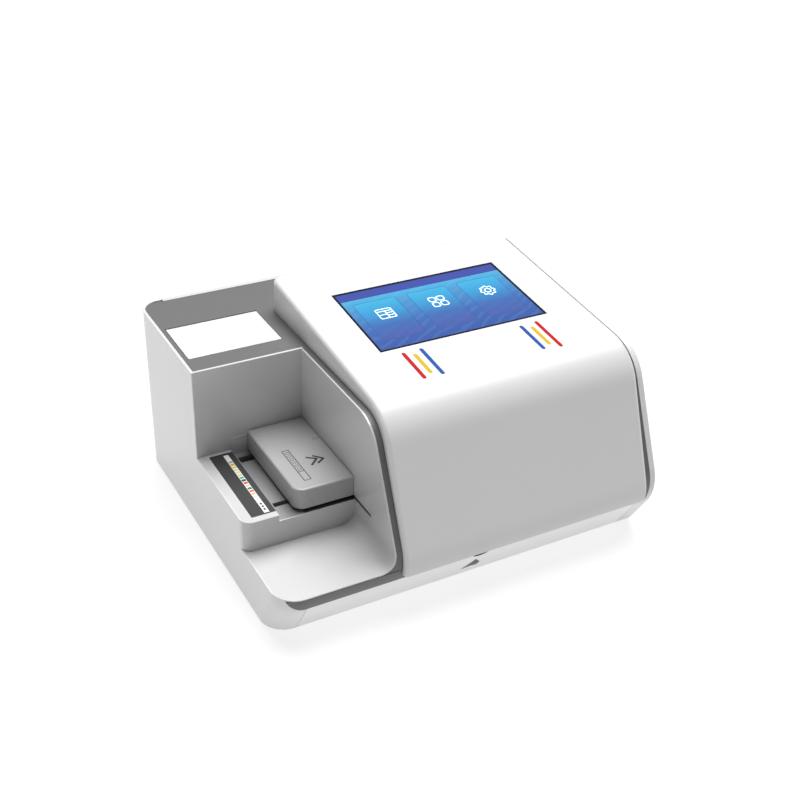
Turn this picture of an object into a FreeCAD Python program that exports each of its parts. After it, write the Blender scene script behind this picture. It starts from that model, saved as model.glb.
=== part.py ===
import FreeCAD, Part
from FreeCAD import Vector
import math
import os

# Sizes are in millimetres. While the pieces are made, x runs from the outer left wall
# to the right, y from the foremost point of the main cover to the back, and z up from
# the underside of the housing. save() then moves each piece to the model's own frame.

# Housing
width = 342.0
depth = 304.4
deck_height = 152.7
wall = 2.2
bay_wall = 1.5
tray_lip = 1.2
seam = 0.4
overrun = 30.0
edge_break = 0.6
same_point = 0.001

# Side profile of the inner frame: chin, nose, face and deck
chin_foot = 26.7
chin_lean = 30.2
nose_radius = 38.0
core_setback = 5.0
face_lean = 24.5
deck_radius = 30.0

# Main cover
cover_left = 100.6
cover_end = 12.0
cover_back_room = 55.7
cover_back = depth - cover_back_room
cover_rise = 30.1
cover_back_height = deck_height + cover_rise
cover_top_slope = 6.03
cover_chin_foot = 19.75
cover_face_lean = 21.8
cover_top_radius = 42.0
cover_front_height = 39.3
cover_edge_radius = 3.5
cover_corner_radius = 10.0
cover_wall = 2.5
cover_seat_gap = 0.3
window_margin = 9.0

# Printer lid in the deck
lid_left = 6.2
lid_width = 80.6
lid_front = 194.1
lid_length = 55.4
lid_gap = 0.5

# Screen
screen_offset = 1.15
screen_width = 154.1
screen_slant = 85.9
screen_top = 200.8
screen_frame = 1.6
glass_thickness = 1.1
glass_recess = 0.3
lcd_border = 5.0
lcd_thickness = 4.5
bracket_sheet = 1.0
bracket_foot = 14.0

# Right shell
cap_width = 6.5
cap_drop = 6.0
cap_back_room = 49.7
cap_back = depth - cap_back_room
cap_back_radius = 12.0
cap_top_radius = 42.0
cap_edge_radius = 2.2

# Left housing and loading bay
bay_wall_x = 94.1
block_front = 172.1
pedestal_front = 73.0
pedestal_height = 72.7
shelf_height = 45.4
front_corner_radius = 20.0
back_corner_radius = 18.0
pedestal_corner_radius = 9.0
cove_radius = 12.0
panel_joint = 21.5
band_tip_radius = 16.2
channel_left = 29.4
channel_floor = 67.0
channel_rim = 1.2
tunnel_height = 84.5
tunnel_margin = 3.0
handle_slot_front = 46.3
handle_slot_low = 66.9
handle_slot_high = 70.2
deck_ledge = 2.0

# Drawer front
chin_top = 33.5
chin_end = 16.5
front_thickness = 2.5
notch_width = 18.0
notch_depth = 5.0

# Placement panel
panel_left = 9.3
panel_front = 79.2
panel_back = 169.5
panel_thickness = 0.6

# Strip table, hood and pusher
table_thickness = 2.5
table_end = 141.0
rib_thickness = 1.6
rib_depth = 3.0
front_slot_near = 91.2
front_slot_far = 96.3
back_slot_near = 158.7
back_slot_far = 166.7
slot_start = 30.8
hood_left = 44.4
hood_front = 75.1
hood_low = 70.3
hood_high = 88.1
hood_wall = 2.0
hood_corner_radius = 9.0
hood_edge_radius = 1.6
hood_peg_radius = 2.0

# Pusher carriage, its frame, rods, belt and motor
blade_height = 2.3
blade_width = 3.0
blade_side_gap = 1.2
crossbar_width = 10.0
crossbar_thickness = 3.5
crossbar_gap = 1.0
carriage_rest = 70.0
carriage_length = 24.0
carriage_front = 184.0
carriage_back = 219.0
carriage_low = 45.0
clamp_back = 230.0
clamp_depth = 7.5
frame_left = 10.0
frame_end = 180.0
frame_front = 183.0
frame_back = 232.2
frame_height = 60.0
frame_sheet = 1.5
ear_width = 24.0
rod_radius = 2.5
rod_height = 52.0
near_rod = 190.0
far_rod = 212.0
bush_radius = 4.0
bush_length = 6.0
rod_fit = 0.05
belt_place = 226.0
belt_width = 6.0
belt_thickness = 1.0
belt_gap = 0.3
pulley_radius = 6.4
pulley_height = 50.0
pulley_flange = 1.4
pulley_flange_thickness = 0.8
idler_place = 20.0
driver_place = 165.0
pin_radius = 1.5
motor_radius = 12.0
motor_length = 18.0
motor_plate = 1.2
motor_ear = 6.0

# Reader head over the strip table
reader_left = 100.0
reader_right = 136.0
reader_front = 38.0
reader_back = 238.0
reader_height = 110.0
reader_sheet = 1.5
reader_foot = 12.0
reader_rod_height = 100.0
reader_rod_inset = 6.0
head_rest = 186.0
head_length = 28.0
head_low = 78.0
head_high = 107.0
head_side = 2.0
screw_core = 3.0
screw_motor_radius = 12.5
screw_motor_length = 20.0
lens_radius = 5.0
lens_height = 2.5

# Chute from the table end into the drawer
chute_overlap = 2.0
chute_sheet = 1.5
chute_length = 57.0
chute_front = 42.0
chute_back = 177.0
chute_tail = 3.0
chute_flange = 2.5

# Printer under the deck
bucket_left = 9.0
bucket_right = 84.8
bucket_front = 190.0
bucket_back = 249.8
bucket_drop = 54.7
bucket_low = deck_height - bucket_drop
bucket_wall = 2.0
bucket_flange = 3.0
bucket_flange_thickness = 1.4
roll_room_right = 75.0
roll_room_front = 210.5
roll_width = 57.0
roll_radius = 18.0
roll_core = 6.0
roll_gap = 0.3
platen_place = 203.0
platen_drop = 9.2
platen_height = deck_height - platen_drop
platen_radius = 5.0
platen_left = 15.8
platen_shaft = 1.5
head_shelf_gap = 0.2
thermal_thickness = 4.3
thermal_width = 9.5
arm_thickness = 1.6
arm_reach = 2.6
lid_thickness = 2.2
lid_pin_place = 237.5
lid_pin_drop = 4.3
lid_pin_height = deck_height - lid_pin_drop
lid_pin_radius = 1.0
lid_seat_radius = 1.8
lid_back_chamfer = 1.2
lid_swing = 12.0
lid_lug_width = 4.0
lid_lug_inset = 9.0
gear_module = 0.8
platen_teeth = 12
drive_teeth = 24
gear_width = 3.4
gear_backlash = 0.16
gear_side_gap = 1.0
gear_root_share = 1.2
gear_tip_share = 0.95
gear_root_width_share = 1.55
gear_tip_width_share = 0.5
printer_motor_radius = 10.0
printer_motor_length = 17.0
printer_shaft = 1.25

# Boards and power supply
board_end = 32.0
board_width = 104.0
board_front = 62.0
board_depth = 150.0
board_height = 45.0
board_thickness = 1.6
board_hole_inset = 5.0
standoff_radius = 3.0
supply_end = 38.0
supply_width = 112.0
supply_front = 216.0
supply_depth = 60.0
supply_height = 36.0
supply_sheet = 1.0
board_part_shares = (
    (0.36, 0.20, 0.18, 0.12),
    (0.62, 0.22, 0.14, 0.08),
    (0.10, 0.62, 0.20, 0.10),
    (0.44, 0.60, 0.12, 0.09),
    (0.20, 0.92, 0.30, 0.05),
    (0.60, 0.92, 0.24, 0.05),
    (0.06, 0.30, 0.06, 0.16),
)
board_part_heights = (2.0, 1.6, 3.0, 1.6, 6.0, 6.0, 6.0)
board_can_shares = ((0.76, 0.48), (0.76, 0.58), (0.76, 0.68))
can_radius = 4.0
can_height = 11.0
supply_slots = 9
cable_width = 20.0
cable_lift = 4.0
cable_inset = 40.0
cable_run = 12.0
cable_drop = 0.6
cable_thickness = 0.6
cable_bend = 5.0

# Rear panel and its sockets
back_inset = 2.6
lip_height = 8.0
socket_height = 62.0
mains_end = 54.0
mains_width = 27.6
mains_high = 20.0
mains_flange = 2.4
mains_depth = 22.0
mains_mouth_width = 24.4
mains_mouth_high = 16.6
mains_mouth_chamfer = 4.5
mains_mouth_depth = 17.0
blade_pin_width = 2.0
blade_pin_high = 4.0
blade_pin_pitch = 7.0
blade_pin_drop = 3.0
switch_end = 92.0
switch_width = 13.2
switch_high = 19.4
switch_bezel = 1.6
switch_depth = 16.0
rocker_tilt = 9.0
rocker_rise = 2.2
rocker_gap = 0.35
serial_place = 70.0
serial_width = 16.9
serial_high = 8.3
serial_plate_width = 31.0
serial_plate_high = 12.5
network_place = 112.0
network_width = 16.0
network_high = 13.6
network_mouth_width = 11.8
network_mouth_high = 7.6
network_depth = 14.0
usb_place = 148.0
usb_width = 13.4
usb_high = 5.9
usb_mouth_width = 12.2
usb_mouth_high = 4.7
usb_tongue = 1.8
usb_depth = 14.0
socket_wall = 1.6
vent_rows = 6
vent_end = 62.0
vent_length = 90.0
vent_low = 96.0
vent_pitch = 7.0
vent_height = 3.0

# Base pan features and screws
floor_vents = 8
floor_vent_left = 120.0
floor_vent_pitch = 14.0
floor_vent_width = 3.5
floor_vent_front = 236.0
floor_vent_back = 276.0
screw_inset_side = 14.0
screw_inset_front = 56.0
screw_inset_back = 14.0
screw_radius = 1.5
screw_head_radius = 3.0
screw_head_thickness = 1.8
screw_head_height = 2.2
boss_radius = 4.0
boss_height = 12.0
screw_reach = 1.5
flange_width = 10.0
runner_stop = 3.0
rim_start = 6.0
panel_radius = 1.5

# Chassis, drawer and runners
chassis_top = 37.2
chassis_sheet = 1.2
chassis_left = 8.0
chassis_end = 20.0
chassis_front = 36.0
chassis_back = 292.0
flange_left = 28.0
flange_end = 28.0
pan_thickness = 2.5
tray_back = 214.0
tray_wall = 2.0
tray_floor_gap = 2.4
tray_height = 28.5
tray_side_gap = 7.0
runner_thickness = 1.5
running_gap = 0.4

# Feet
foot_radius = 8.0
foot_height = 3.0
foot_inset_side = 40.0
foot_inset_front = 62.0
foot_inset_back = 26.0
foot_peg_radius = 2.5
foot_peg_height = 1.8

# Places on the right side, which move with the width
cap_inner = width - cap_width
cover_right = width - cover_end
chin_right = width - chin_end
screen_left = (cover_left + cover_right - screen_width) / 2 - screen_offset
chassis_right = width - chassis_end
flange_right = width - flange_end
board_left = width - board_end - board_width
supply_left = width - supply_end - supply_width
mains_place = width - mains_end
switch_place = width - switch_end
vent_left = width - vent_end - vent_length


def tangent(angle):
    """Tangent of an angle in degrees."""
    return math.tan(math.radians(angle))


def box(x0, x1, y0, y1, z0, z1):
    """Block between two planes along each axis."""
    return Part.makeBox(x1 - x0, y1 - y0, z1 - z0, Vector(x0, y0, z0))


def rod_x(radius, x0, x1, y, z):
    """Round bar along x."""
    return Part.makeCylinder(radius, x1 - x0, Vector(x0, y, z), Vector(1, 0, 0))


def rod_y(radius, x, y0, y1, z):
    """Round bar along y."""
    return Part.makeCylinder(radius, y1 - y0, Vector(x, y0, z), Vector(0, 1, 0))


def rod_z(radius, x, y, z0, z1):
    """Round bar along z."""
    return Part.makeCylinder(radius, z1 - z0, Vector(x, y, z0), Vector(0, 0, 1))


def rounded_wire(corners, radii):
    """Closed wire through corners, each one rounded by a tangent arc of its radius."""
    count = len(corners)
    starts = []
    ends = []
    arcs = []
    for i in range(count):
        corner = corners[i]
        back = corners[i - 1] - corner
        ahead = corners[(i + 1) % count] - corner
        back.normalize()
        ahead.normalize()
        if radii[i] > 0:
            half = back.getAngle(ahead) / 2
            reach = radii[i] / math.tan(half)
            middle = back + ahead
            middle.normalize()
            to_arc = radii[i] / math.sin(half) - radii[i]
            start = corner + back * reach
            end = corner + ahead * reach
            arcs.append(Part.Arc(start, corner + middle * to_arc, end).toShape())
        else:
            start = corner
            end = corner
            arcs.append(None)
        starts.append(start)
        ends.append(end)
    edges = []
    for i in range(count):
        if arcs[i]:
            edges.append(arcs[i])
        following = starts[(i + 1) % count]
        if not ends[i].isEqual(following, same_point):
            edges.append(Part.makeLine(ends[i], following))
    return Part.Wire(edges)


def slab_x(corners, radii, x0, x1):
    """Slab between two x planes with a rounded outline given in y and z."""
    points = [Vector(x0, y, z) for y, z in corners]
    face = Part.Face(rounded_wire(points, radii))
    return face.extrude(Vector(x1 - x0, 0, 0))


def slab_y(corners, radii, y0, y1):
    """Slab between two y planes with a rounded outline given in x and z."""
    points = [Vector(x, y0, z) for x, z in corners]
    face = Part.Face(rounded_wire(points, radii))
    return face.extrude(Vector(0, y1 - y0, 0))


def slab_z(corners, radii, z0, z1):
    """Slab between two z planes with a rounded outline given in x and y."""
    points = [Vector(x, y, z0) for x, y in corners]
    face = Part.Face(rounded_wire(points, radii))
    return face.extrude(Vector(0, 0, z1 - z0))


def joined(pieces):
    """Fusion of several overlapping or touching solids, with seams in planes removed."""
    whole = pieces[0].fuse(pieces[1:]) if len(pieces) > 1 else pieces[0]
    return whole.removeSplitter()


def save(name, shape):
    """Move a piece to the model's frame and write it."""
    moved = shape.copy()
    moved.translate(Vector(-width / 2, -depth / 2, foot_height))
    moved.exportStep("parts/" + name + ".step")


def nose_centre_height(foot, centre_y, radius):
    """Height at which an arc of the radius touches the chin line through the foot."""
    reach = radius / math.cos(math.radians(chin_lean))
    return (reach - centre_y + foot) / tangent(chin_lean)


def front_lines(nose, foot, face_angle, inset):
    """Corner between chin and face lines, and where the face line meets z = 0."""
    radius = nose_radius - inset
    centre_y = nose + nose_radius
    foot_in = foot + inset / math.cos(math.radians(chin_lean))
    centre_z = nose_centre_height(foot_in, centre_y, radius)
    face_start = centre_y - tangent(face_angle) * centre_z - radius / math.cos(math.radians(face_angle))
    corner_z = (foot_in - face_start) / (tangent(chin_lean) + tangent(face_angle))
    corner = (foot_in - tangent(chin_lean) * corner_z, corner_z)
    return foot_in, corner, face_start


def cover_top(y, inset):
    """Height of the cover's sloping top at a place along y."""
    drop = inset / math.cos(math.radians(cover_top_slope))
    return cover_back_height - drop - tangent(cover_top_slope) * (cover_back - y)


def face_meets_top(face_start, face_angle, inset):
    """Corner between a face line and the sloping top."""
    slope = tangent(cover_top_slope)
    lean = tangent(face_angle)
    corner_z = (cover_top(0, inset) + slope * face_start) / (1 - slope * lean)
    return face_start + lean * corner_z, corner_z


def core_block(x0, x1, inset):
    """Body inside the inner frame's side profile, moved in by the inset."""
    foot_in, nose_corner, face_start = front_lines(core_setback, chin_foot, face_lean, inset)
    top = deck_height - inset
    back = depth - inset
    corners = [
        (foot_in + tangent(chin_lean) * overrun, -overrun),
        nose_corner,
        (face_start + tangent(face_lean) * top, top),
        (back, top),
        (back, -overrun),
    ]
    return slab_x(corners, [0, nose_radius - inset, deck_radius - inset, 0, 0], x0, x1)


def cover_block(x0, x1, inset):
    """Body inside the main cover's side profile, moved in by the inset."""
    foot_in, nose_corner, face_start = front_lines(0, cover_chin_foot, cover_face_lean, inset)
    back = cover_back - inset
    corners = [
        (foot_in + tangent(chin_lean) * overrun, -overrun),
        nose_corner,
        face_meets_top(face_start, cover_face_lean, inset),
        (back, cover_top(back, inset)),
        (back, -overrun),
    ]
    radii = [0, nose_radius - inset, cover_top_radius - inset, 0, 0]
    return slab_x(corners, radii, x0, x1)


def nose_path(inset, low, high):
    """Path from a low height up the chin line and round the nose to a high one."""
    radius = nose_radius - inset
    foot_in = foot_after_inset(inset)
    centre_y = core_setback + nose_radius
    centre_z = nose_centre_height(foot_in, centre_y, radius)
    lean = math.radians(chin_lean)
    start = Vector(0, foot_in - tangent(chin_lean) * low, low)
    touch = Vector(0, centre_y - radius * math.cos(lean), centre_z - radius * math.sin(lean))
    rise = math.asin((high - centre_z) / radius)
    middle_angle = (rise - lean) / 2
    middle = Vector(0, centre_y - radius * math.cos(middle_angle),
                    centre_z + radius * math.sin(middle_angle))
    end = Vector(0, centre_y - radius * math.cos(rise), high)
    return Part.Wire([Part.makeLine(start, touch), Part.Arc(touch, middle, end).toShape()])


def foot_after_inset(inset):
    """Place of the chin line at z = 0 when the profile moves in."""
    return chin_foot + inset / math.cos(math.radians(chin_lean))


def low_body(inset, right, low, high):
    """Lower left body: a plan outline with a rounded front corner, slid along the nose."""
    path = nose_path(inset, low, high)
    front = foot_after_inset(inset) - tangent(chin_lean) * low
    points = [
        Vector(inset, front, low),
        Vector(right, front, low),
        Vector(right, depth + overrun, low),
        Vector(inset, depth + overrun, low),
    ]
    sweep = Part.BRepOffsetAPI.MakePipeShell(path)
    sweep.setTrihedronMode(Vector(0, 0, 0), Vector(0, 0, 1))
    sweep.add(rounded_wire(points, [front_corner_radius - inset, 0, 0, 0]))
    sweep.build()
    sweep.makeSolid()
    return sweep.shape()


def plan_block(inset, right, front, z0, z1, front_radius):
    """Upright body with the housing's rounded back left corner."""
    corners = [(inset, front), (right, front), (right, depth - inset), (inset, depth - inset)]
    radii = [front_radius, 0, 0, back_corner_radius - inset]
    return slab_z(corners, radii, z0, z1)


def band_tip(gap):
    """Tool that parts the dark band's left tip from the white corner below the shelf."""
    centre_x = panel_joint
    centre_z = chin_top + band_tip_radius
    radius = band_tip_radius + gap
    disc = rod_y(radius, centre_x, -overrun, pedestal_front, centre_z)
    right = box(centre_x, width, -overrun, pedestal_front, chin_top - gap, centre_z)
    return disc.fuse(right)


def make_left_housing():
    """White moulding: outer left wall, bay shelf, pedestal, bay wall and block walls."""
    right = bay_wall_x + bay_wall
    low = low_body(0, right, 0, shelf_height)
    low = low.common(plan_block(0, right, -overrun, 0, shelf_height, 0))
    pedestal = plan_block(0, right, pedestal_front, shelf_height - wall, pedestal_height,
                          pedestal_corner_radius)
    block = plan_block(0, right, block_front, shelf_height - wall, deck_height, edge_break)
    side = core_block(bay_wall_x, right, 0)
    side = side.common(box(bay_wall_x, right, 0, block_front + wall, shelf_height - wall, deck_height))
    cove = box(bay_wall_x - cove_radius, right, 0, pedestal_front, shelf_height - tray_lip,
               shelf_height + cove_radius)
    cove = cove.cut(rod_y(cove_radius, bay_wall_x - cove_radius, -overrun, pedestal_front + overrun,
                          shelf_height + cove_radius))
    cove = cove.common(core_block(0, right, 0))
    body = joined([low, pedestal, block, side, cove])

    under_shelf = low_body(wall, width, -overrun, shelf_height - wall)
    under_shelf = under_shelf.common(plan_block(wall, width, -overrun, -overrun, shelf_height - wall, 0))
    in_pedestal = plan_block(wall, width, pedestal_front + wall, -overrun, pedestal_height - wall,
                             pedestal_corner_radius - wall)
    in_pedestal = in_pedestal.cut(box(channel_left - wall, width, -overrun, block_front,
                                      channel_floor - wall,
                                      deck_height))
    in_block = plan_block(wall, width, block_front + wall, -overrun, deck_height + overrun, edge_break)
    shell = body.cut(under_shelf).cut(in_pedestal).cut(in_block)

    front_open = box(panel_joint, width, -overrun, pedestal_front, -overrun, chin_top)
    front_open = front_open.cut(core_block(0, width, wall + front_thickness))
    shell = shell.cut(front_open)
    band_room = band_tip(seam / 2).common(box(0, width, -overrun, pedestal_front, -overrun,
                                              shelf_height - tray_lip))
    band_room = band_room.cut(low_body(wall + seam, width, -overrun, shelf_height))
    shell = shell.cut(band_room)

    channel = box(channel_left, bay_wall_x, pedestal_front - overrun, block_front, channel_floor,
                  pedestal_height + overrun)
    channel = channel.common(box(0, width, pedestal_front - wall, block_front, 0, deck_height))
    table_room = box(channel_left + channel_rim, right + overrun, pedestal_front + channel_rim,
                     block_front - channel_rim, channel_floor - wall - overrun, channel_floor + overrun)
    table_room = table_room.common(box(0, width, 0, depth, channel_floor - wall - overrun, channel_floor))
    tunnel = box(channel_left + overrun, right + overrun, hood_front + tunnel_margin + hood_wall,
                 block_front - tunnel_margin, channel_floor, tunnel_height)
    handle_slot = box(bay_wall_x - seam, right + overrun, handle_slot_front,
                      hood_front + tunnel_margin + hood_wall,
                      handle_slot_low, handle_slot_high)
    shell = shell.cut(channel).cut(table_room).cut(tunnel).cut(handle_slot)

    corner_room = core_block(bay_wall_x - cove_radius, right + overrun, 0)
    corner_room = corner_room.cut(core_block(0, width, wall + seam / 2))
    corner_room = corner_room.common(box(bay_wall_x - cove_radius, right + overrun, 0, pedestal_front,
                                         shelf_height - tray_lip, shelf_height + cove_radius))
    corner_room = corner_room.cut(rod_y(cove_radius + tray_lip, bay_wall_x - cove_radius, -overrun,
                                        pedestal_front,
                                        shelf_height + cove_radius))
    shell = shell.cut(corner_room)

    back_open = box(panel_joint, width, depth - back_corner_radius, depth + overrun, -overrun,
                    deck_height + overrun)
    shell = shell.cut(back_open)
    ledge = plan_block(wall - edge_break, right, block_front + wall - edge_break,
                       deck_height - wall - deck_ledge - seam,
                       deck_height - wall - seam, 0)
    ledge = ledge.cut(plan_block(wall + deck_ledge, width, block_front + wall + deck_ledge, 0,
                                 deck_height, 0))
    ledge = ledge.cut(box(panel_joint, width, depth - back_corner_radius, depth, 0, deck_height))
    ledge = ledge.cut(box(panel_joint + overrun, width, 0, depth, 0, deck_height))
    shell = shell.fuse(ledge)

    panel_bed = box(panel_left, channel_left, panel_front, panel_back, pedestal_height - panel_thickness,
                    pedestal_height + overrun)
    return shell.cut(panel_bed).removeSplitter()


def on_slope(shape):
    """Tip a shape modelled level at the cover's back top edge onto the sloping top."""
    tipped = shape.copy()
    tipped.rotate(Vector(0, cover_back, cover_back_height), Vector(1, 0, 0), cover_top_slope)
    return tipped


def screen_block(border, low, high):
    """Block round the screen area, between two heights over the cover's sloping top."""
    far = (cover_back - screen_top) / math.cos(math.radians(cover_top_slope))
    level = box(screen_left - border, screen_left + screen_width + border,
                cover_back - far - screen_slant - border, cover_back - far + border,
                cover_back_height + low, cover_back_height + high)
    return on_slope(level)


def make_inner_frame():
    """Dark moulding: deck, band along the face and nose, and strip below the shelf."""
    left = bay_wall_x + bay_wall + seam / 2
    right = cap_inner - seam
    skin = core_block(left, right, 0).cut(core_block(left - overrun, right + overrun, wall))
    skin = skin.common(box(left, right, 0, depth - back_inset - wall - seam, chin_top, deck_height))
    window = cover_block(cover_left + window_margin, cover_right - window_margin,
                         cover_wall + window_margin)
    window = window.common(box(0, width, 0, cover_back - window_margin, cover_front_height + window_margin,
                               deck_height + overrun))
    skin = skin.cut(window)
    flange = core_block(right - wall, right, wall).cut(core_block(right - overrun, right + overrun,
                                                                  wall + flange_width))
    flange = flange.common(box(0, width, 0, depth - back_inset - wall - seam, chin_top, deck_height))
    deck = plan_block(wall + seam / 2, left + wall, block_front + wall + seam / 2, deck_height - wall,
                      deck_height,
                      0)
    deck = deck.common(box(0, width, 0, depth - back_inset - wall - seam, 0, deck_height))
    lid_hole = box(lid_left - lid_gap, lid_left + lid_width + lid_gap, lid_front - lid_gap,
                   lid_front + lid_length + lid_gap, 0, deck_height + overrun)
    deck = deck.cut(lid_hole)
    band = low_body(0, left + wall, chin_top, shelf_height - tray_lip - seam / 2)
    band = band.cut(low_body(wall, width, 0, shelf_height))
    band = band.common(band_tip(-seam / 2))
    band = band.common(box(0, left + wall, 0, front_corner_radius + nose_radius, chin_top, shelf_height))
    corner = core_block(bay_wall_x - cove_radius, left, 0)
    corner = corner.cut(core_block(0, width, wall))
    corner = corner.common(box(bay_wall_x - cove_radius, left, 0, pedestal_front,
                               shelf_height - tray_lip - seam,
                               shelf_height + cove_radius))
    cove_edge = rod_y(cove_radius + tray_lip + seam / 2, bay_wall_x - cove_radius, -overrun, pedestal_front,
                      shelf_height + cove_radius)
    corner = corner.cut(cove_edge)
    return joined([skin, flange, deck, band, corner])


def make_main_cover():
    """White cover over the middle, hollow, standing on the inner frame."""
    solid = cover_block(cover_left, cover_right, 0)
    plan = [(cover_left, -overrun), (cover_right, -overrun), (cover_right, cover_back),
            (cover_left, cover_back)]
    solid = solid.common(slab_z(plan, [0, 0, cover_corner_radius, cover_corner_radius], -overrun, width))
    top_sides = []
    for edge in solid.Edges:
        bound = edge.BoundBox
        if bound.XLength < same_point and bound.YLength > nose_radius * 2 and bound.ZMax > deck_height:
            top_sides.append(edge)
    solid = solid.makeFillet(cover_edge_radius, top_sides)
    inside = cover_block(cover_left + cover_wall, cover_right - cover_wall, cover_wall)
    inner_radius = cover_corner_radius - cover_wall
    inner_plan = [(cover_left + cover_wall, -overrun), (cover_right - cover_wall, -overrun),
                  (cover_right - cover_wall, cover_back - cover_wall),
                  (cover_left + cover_wall, cover_back - cover_wall)]
    inside = inside.common(slab_z(inner_plan, [0, 0, inner_radius, inner_radius], -overrun, width))
    shell = solid.cut(inside)
    shell = shell.cut(core_block(0, width, -cover_seat_gap))
    shell = shell.cut(box(0, width, -overrun, chin_foot + overrun, -overrun, cover_front_height))
    shell = shell.cut(screen_block(screen_frame, -cover_wall - overrun, overrun))
    return shell


def cap_block(x0, x1, inset):
    """Body inside the right shell's side profile, moved in by the inset."""
    foot_in, nose_corner, face_start = front_lines(core_setback, chin_foot, face_lean, inset)
    back = cap_back - inset
    drop = cap_drop + inset
    corners = [
        (foot_in, 0),
        nose_corner,
        face_meets_top(face_start, face_lean, drop),
        (back, cover_top(back, drop)),
        (back, deck_height - inset),
        (depth - inset, deck_height - inset),
        (depth - inset, 0),
    ]
    radii = [0, nose_radius - inset, cap_top_radius - inset, cap_back_radius - inset, 0, wall, 0]
    return slab_x(corners, radii, x0, x1)


def make_right_shell():
    """White end cap with a rounded rim, hollow from its inner side."""
    solid = cap_block(cap_inner, width, 0)
    rim = []
    for edge in solid.Edges:
        bound = edge.BoundBox
        if bound.XMin > width - same_point and bound.ZMax > same_point:
            rim.append(edge)
    solid = solid.makeFillet(cap_edge_radius, rim)
    pocket = core_block(0, width - wall, wall).common(box(cap_inner - overrun, width, 0, depth, -overrun,
                                                          deck_height))
    shell = solid.cut(pocket)
    chin = chin_skin(chin_right, cap_inner + wall, 0, wall, 0, chin_top - seam / 2)
    return joined([shell, chin])


def socket_block(place, wide, high, near, far, gap):
    """Block for a rear socket, centred on its place, between two depths from the rear face."""
    face = depth - back_inset
    return box(place - wide / 2 - gap, place + wide / 2 + gap, face - far, face - near,
               socket_height - high / 2 - gap, socket_height + high / 2 + gap)


def make_back_panel():
    """Rear panel set in from the housing's edge, with a lip along its top and holes."""
    face = depth - back_inset
    left = panel_joint + seam
    right = cap_inner - seam
    panel = box(left, right, face - wall, face, seam, deck_height)
    lip = box(left, right, face - wall, depth, deck_height - lip_height, deck_height)
    panel = joined([panel, lip])
    for place, wide, high in (
            (mains_place, mains_width, mains_high),
            (switch_place, switch_width, switch_high),
            (serial_place, serial_width, serial_high),
            (network_place, network_width, network_high),
            (usb_place, usb_width, usb_high)):
        panel = panel.cut(socket_block(place, wide, high, -overrun, overrun, seam / 2))
    for row in range(vent_rows):
        low = vent_low + row * vent_pitch
        panel = panel.cut(box(vent_left, vent_left + vent_length, face - overrun, face + overrun,
                              low, low + vent_height))
    return panel


def make_base_pan():
    """Bottom plate with screw bosses, foot seats and floor vents."""
    left = wall + seam
    right = width - wall - seam
    front = chin_foot + front_thickness + wall + seam
    pan = box(left, right, front, depth - back_inset - wall - seam, 0, pan_thickness)
    pan = pan.common(plan_block(wall + seam, width, -overrun, 0, pan_thickness, 0))
    pan = pan.common(low_body(wall + seam, width, 0, shelf_height))
    for x, y in foot_places():
        pan = pan.cut(rod_z(foot_peg_radius + running_gap / 2, x, y, -overrun, overrun))
    for column in range(floor_vents):
        x = floor_vent_left + column * floor_vent_pitch
        pan = pan.cut(box(x, x + floor_vent_width, floor_vent_front, floor_vent_back, -overrun, overrun))
    bosses = []
    for x, y in base_screw_places():
        bosses.append(rod_z(boss_radius, x, y, pan_thickness - seam, boss_height))
    pan = joined([pan] + bosses)
    for x, y in base_screw_places():
        pan = pan.cut(rod_z(screw_radius + running_gap / 2, x, y, -overrun, overrun + boss_height))
        pan = pan.cut(rod_z(screw_head_radius + running_gap / 2, x, y, -overrun, screw_head_height))
    return pan


def foot_places():
    """Centres of the four feet in plan."""
    places = []
    for x in (foot_inset_side, width - foot_inset_side):
        for y in (foot_inset_front, depth - foot_inset_back):
            places.append((x, y))
    return places


def base_screw_places():
    """Centres of the screws that hold the base pan in plan."""
    places = []
    for x in (screw_inset_side, width - screw_inset_side):
        for y in (screw_inset_front, (screw_inset_front + depth - screw_inset_back) / 2,
                  depth - screw_inset_back):
            places.append((x, y))
    return places


def make_feet():
    """Four rubber feet, each a disc with a peg through the base pan."""
    feet = []
    for x, y in foot_places():
        disc = rod_z(foot_radius, x, y, -foot_height, 0)
        disc = disc.makeChamfer(edge_break, [disc.Edges[2]])
        peg = rod_z(foot_peg_radius, x, y, 0, pan_thickness + foot_peg_height)
        barb = rod_z(foot_peg_radius + edge_break, x, y, pan_thickness + running_gap / 4,
                     pan_thickness + foot_peg_height)
        feet.append(joined([disc, peg, barb]))
    return Part.makeCompound(feet)


def make_base_screws():
    """Screws that hold the base pan, heads sunk into its underside."""
    screws = []
    for x, y in base_screw_places():
        head = rod_z(screw_head_radius, x, y, screw_head_height - screw_head_thickness, screw_head_height)
        shank = rod_z(screw_radius, x, y, screw_head_height, boss_height + screw_reach)
        screws.append(joined([head, shank]))
    return Part.makeCompound(screws)


def chin_skin(x0, x1, inset, thickness, low, high):
    """Sheet that follows the chin's slant between two insets."""
    sheet = core_block(x0, x1, inset).cut(core_block(x0 - overrun, x1 + overrun, inset + thickness))
    return sheet.common(box(x0, x1, -overrun, chin_foot + nose_radius, low, high))


def make_drawer_front():
    """Light-grey front of the waste drawer, with a lens-shaped finger notch on top."""
    front = chin_skin(panel_joint + seam, chin_right - seam, 0, front_thickness, 0, chin_top - seam)
    centre = (panel_joint + chin_right) / 2
    radius = (notch_width ** 2 / 4 + notch_depth ** 2) / (2 * notch_depth)
    notch = rod_y(radius, centre, -overrun, nose_radius, chin_top - seam + radius - notch_depth)
    return front.cut(notch)


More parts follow.
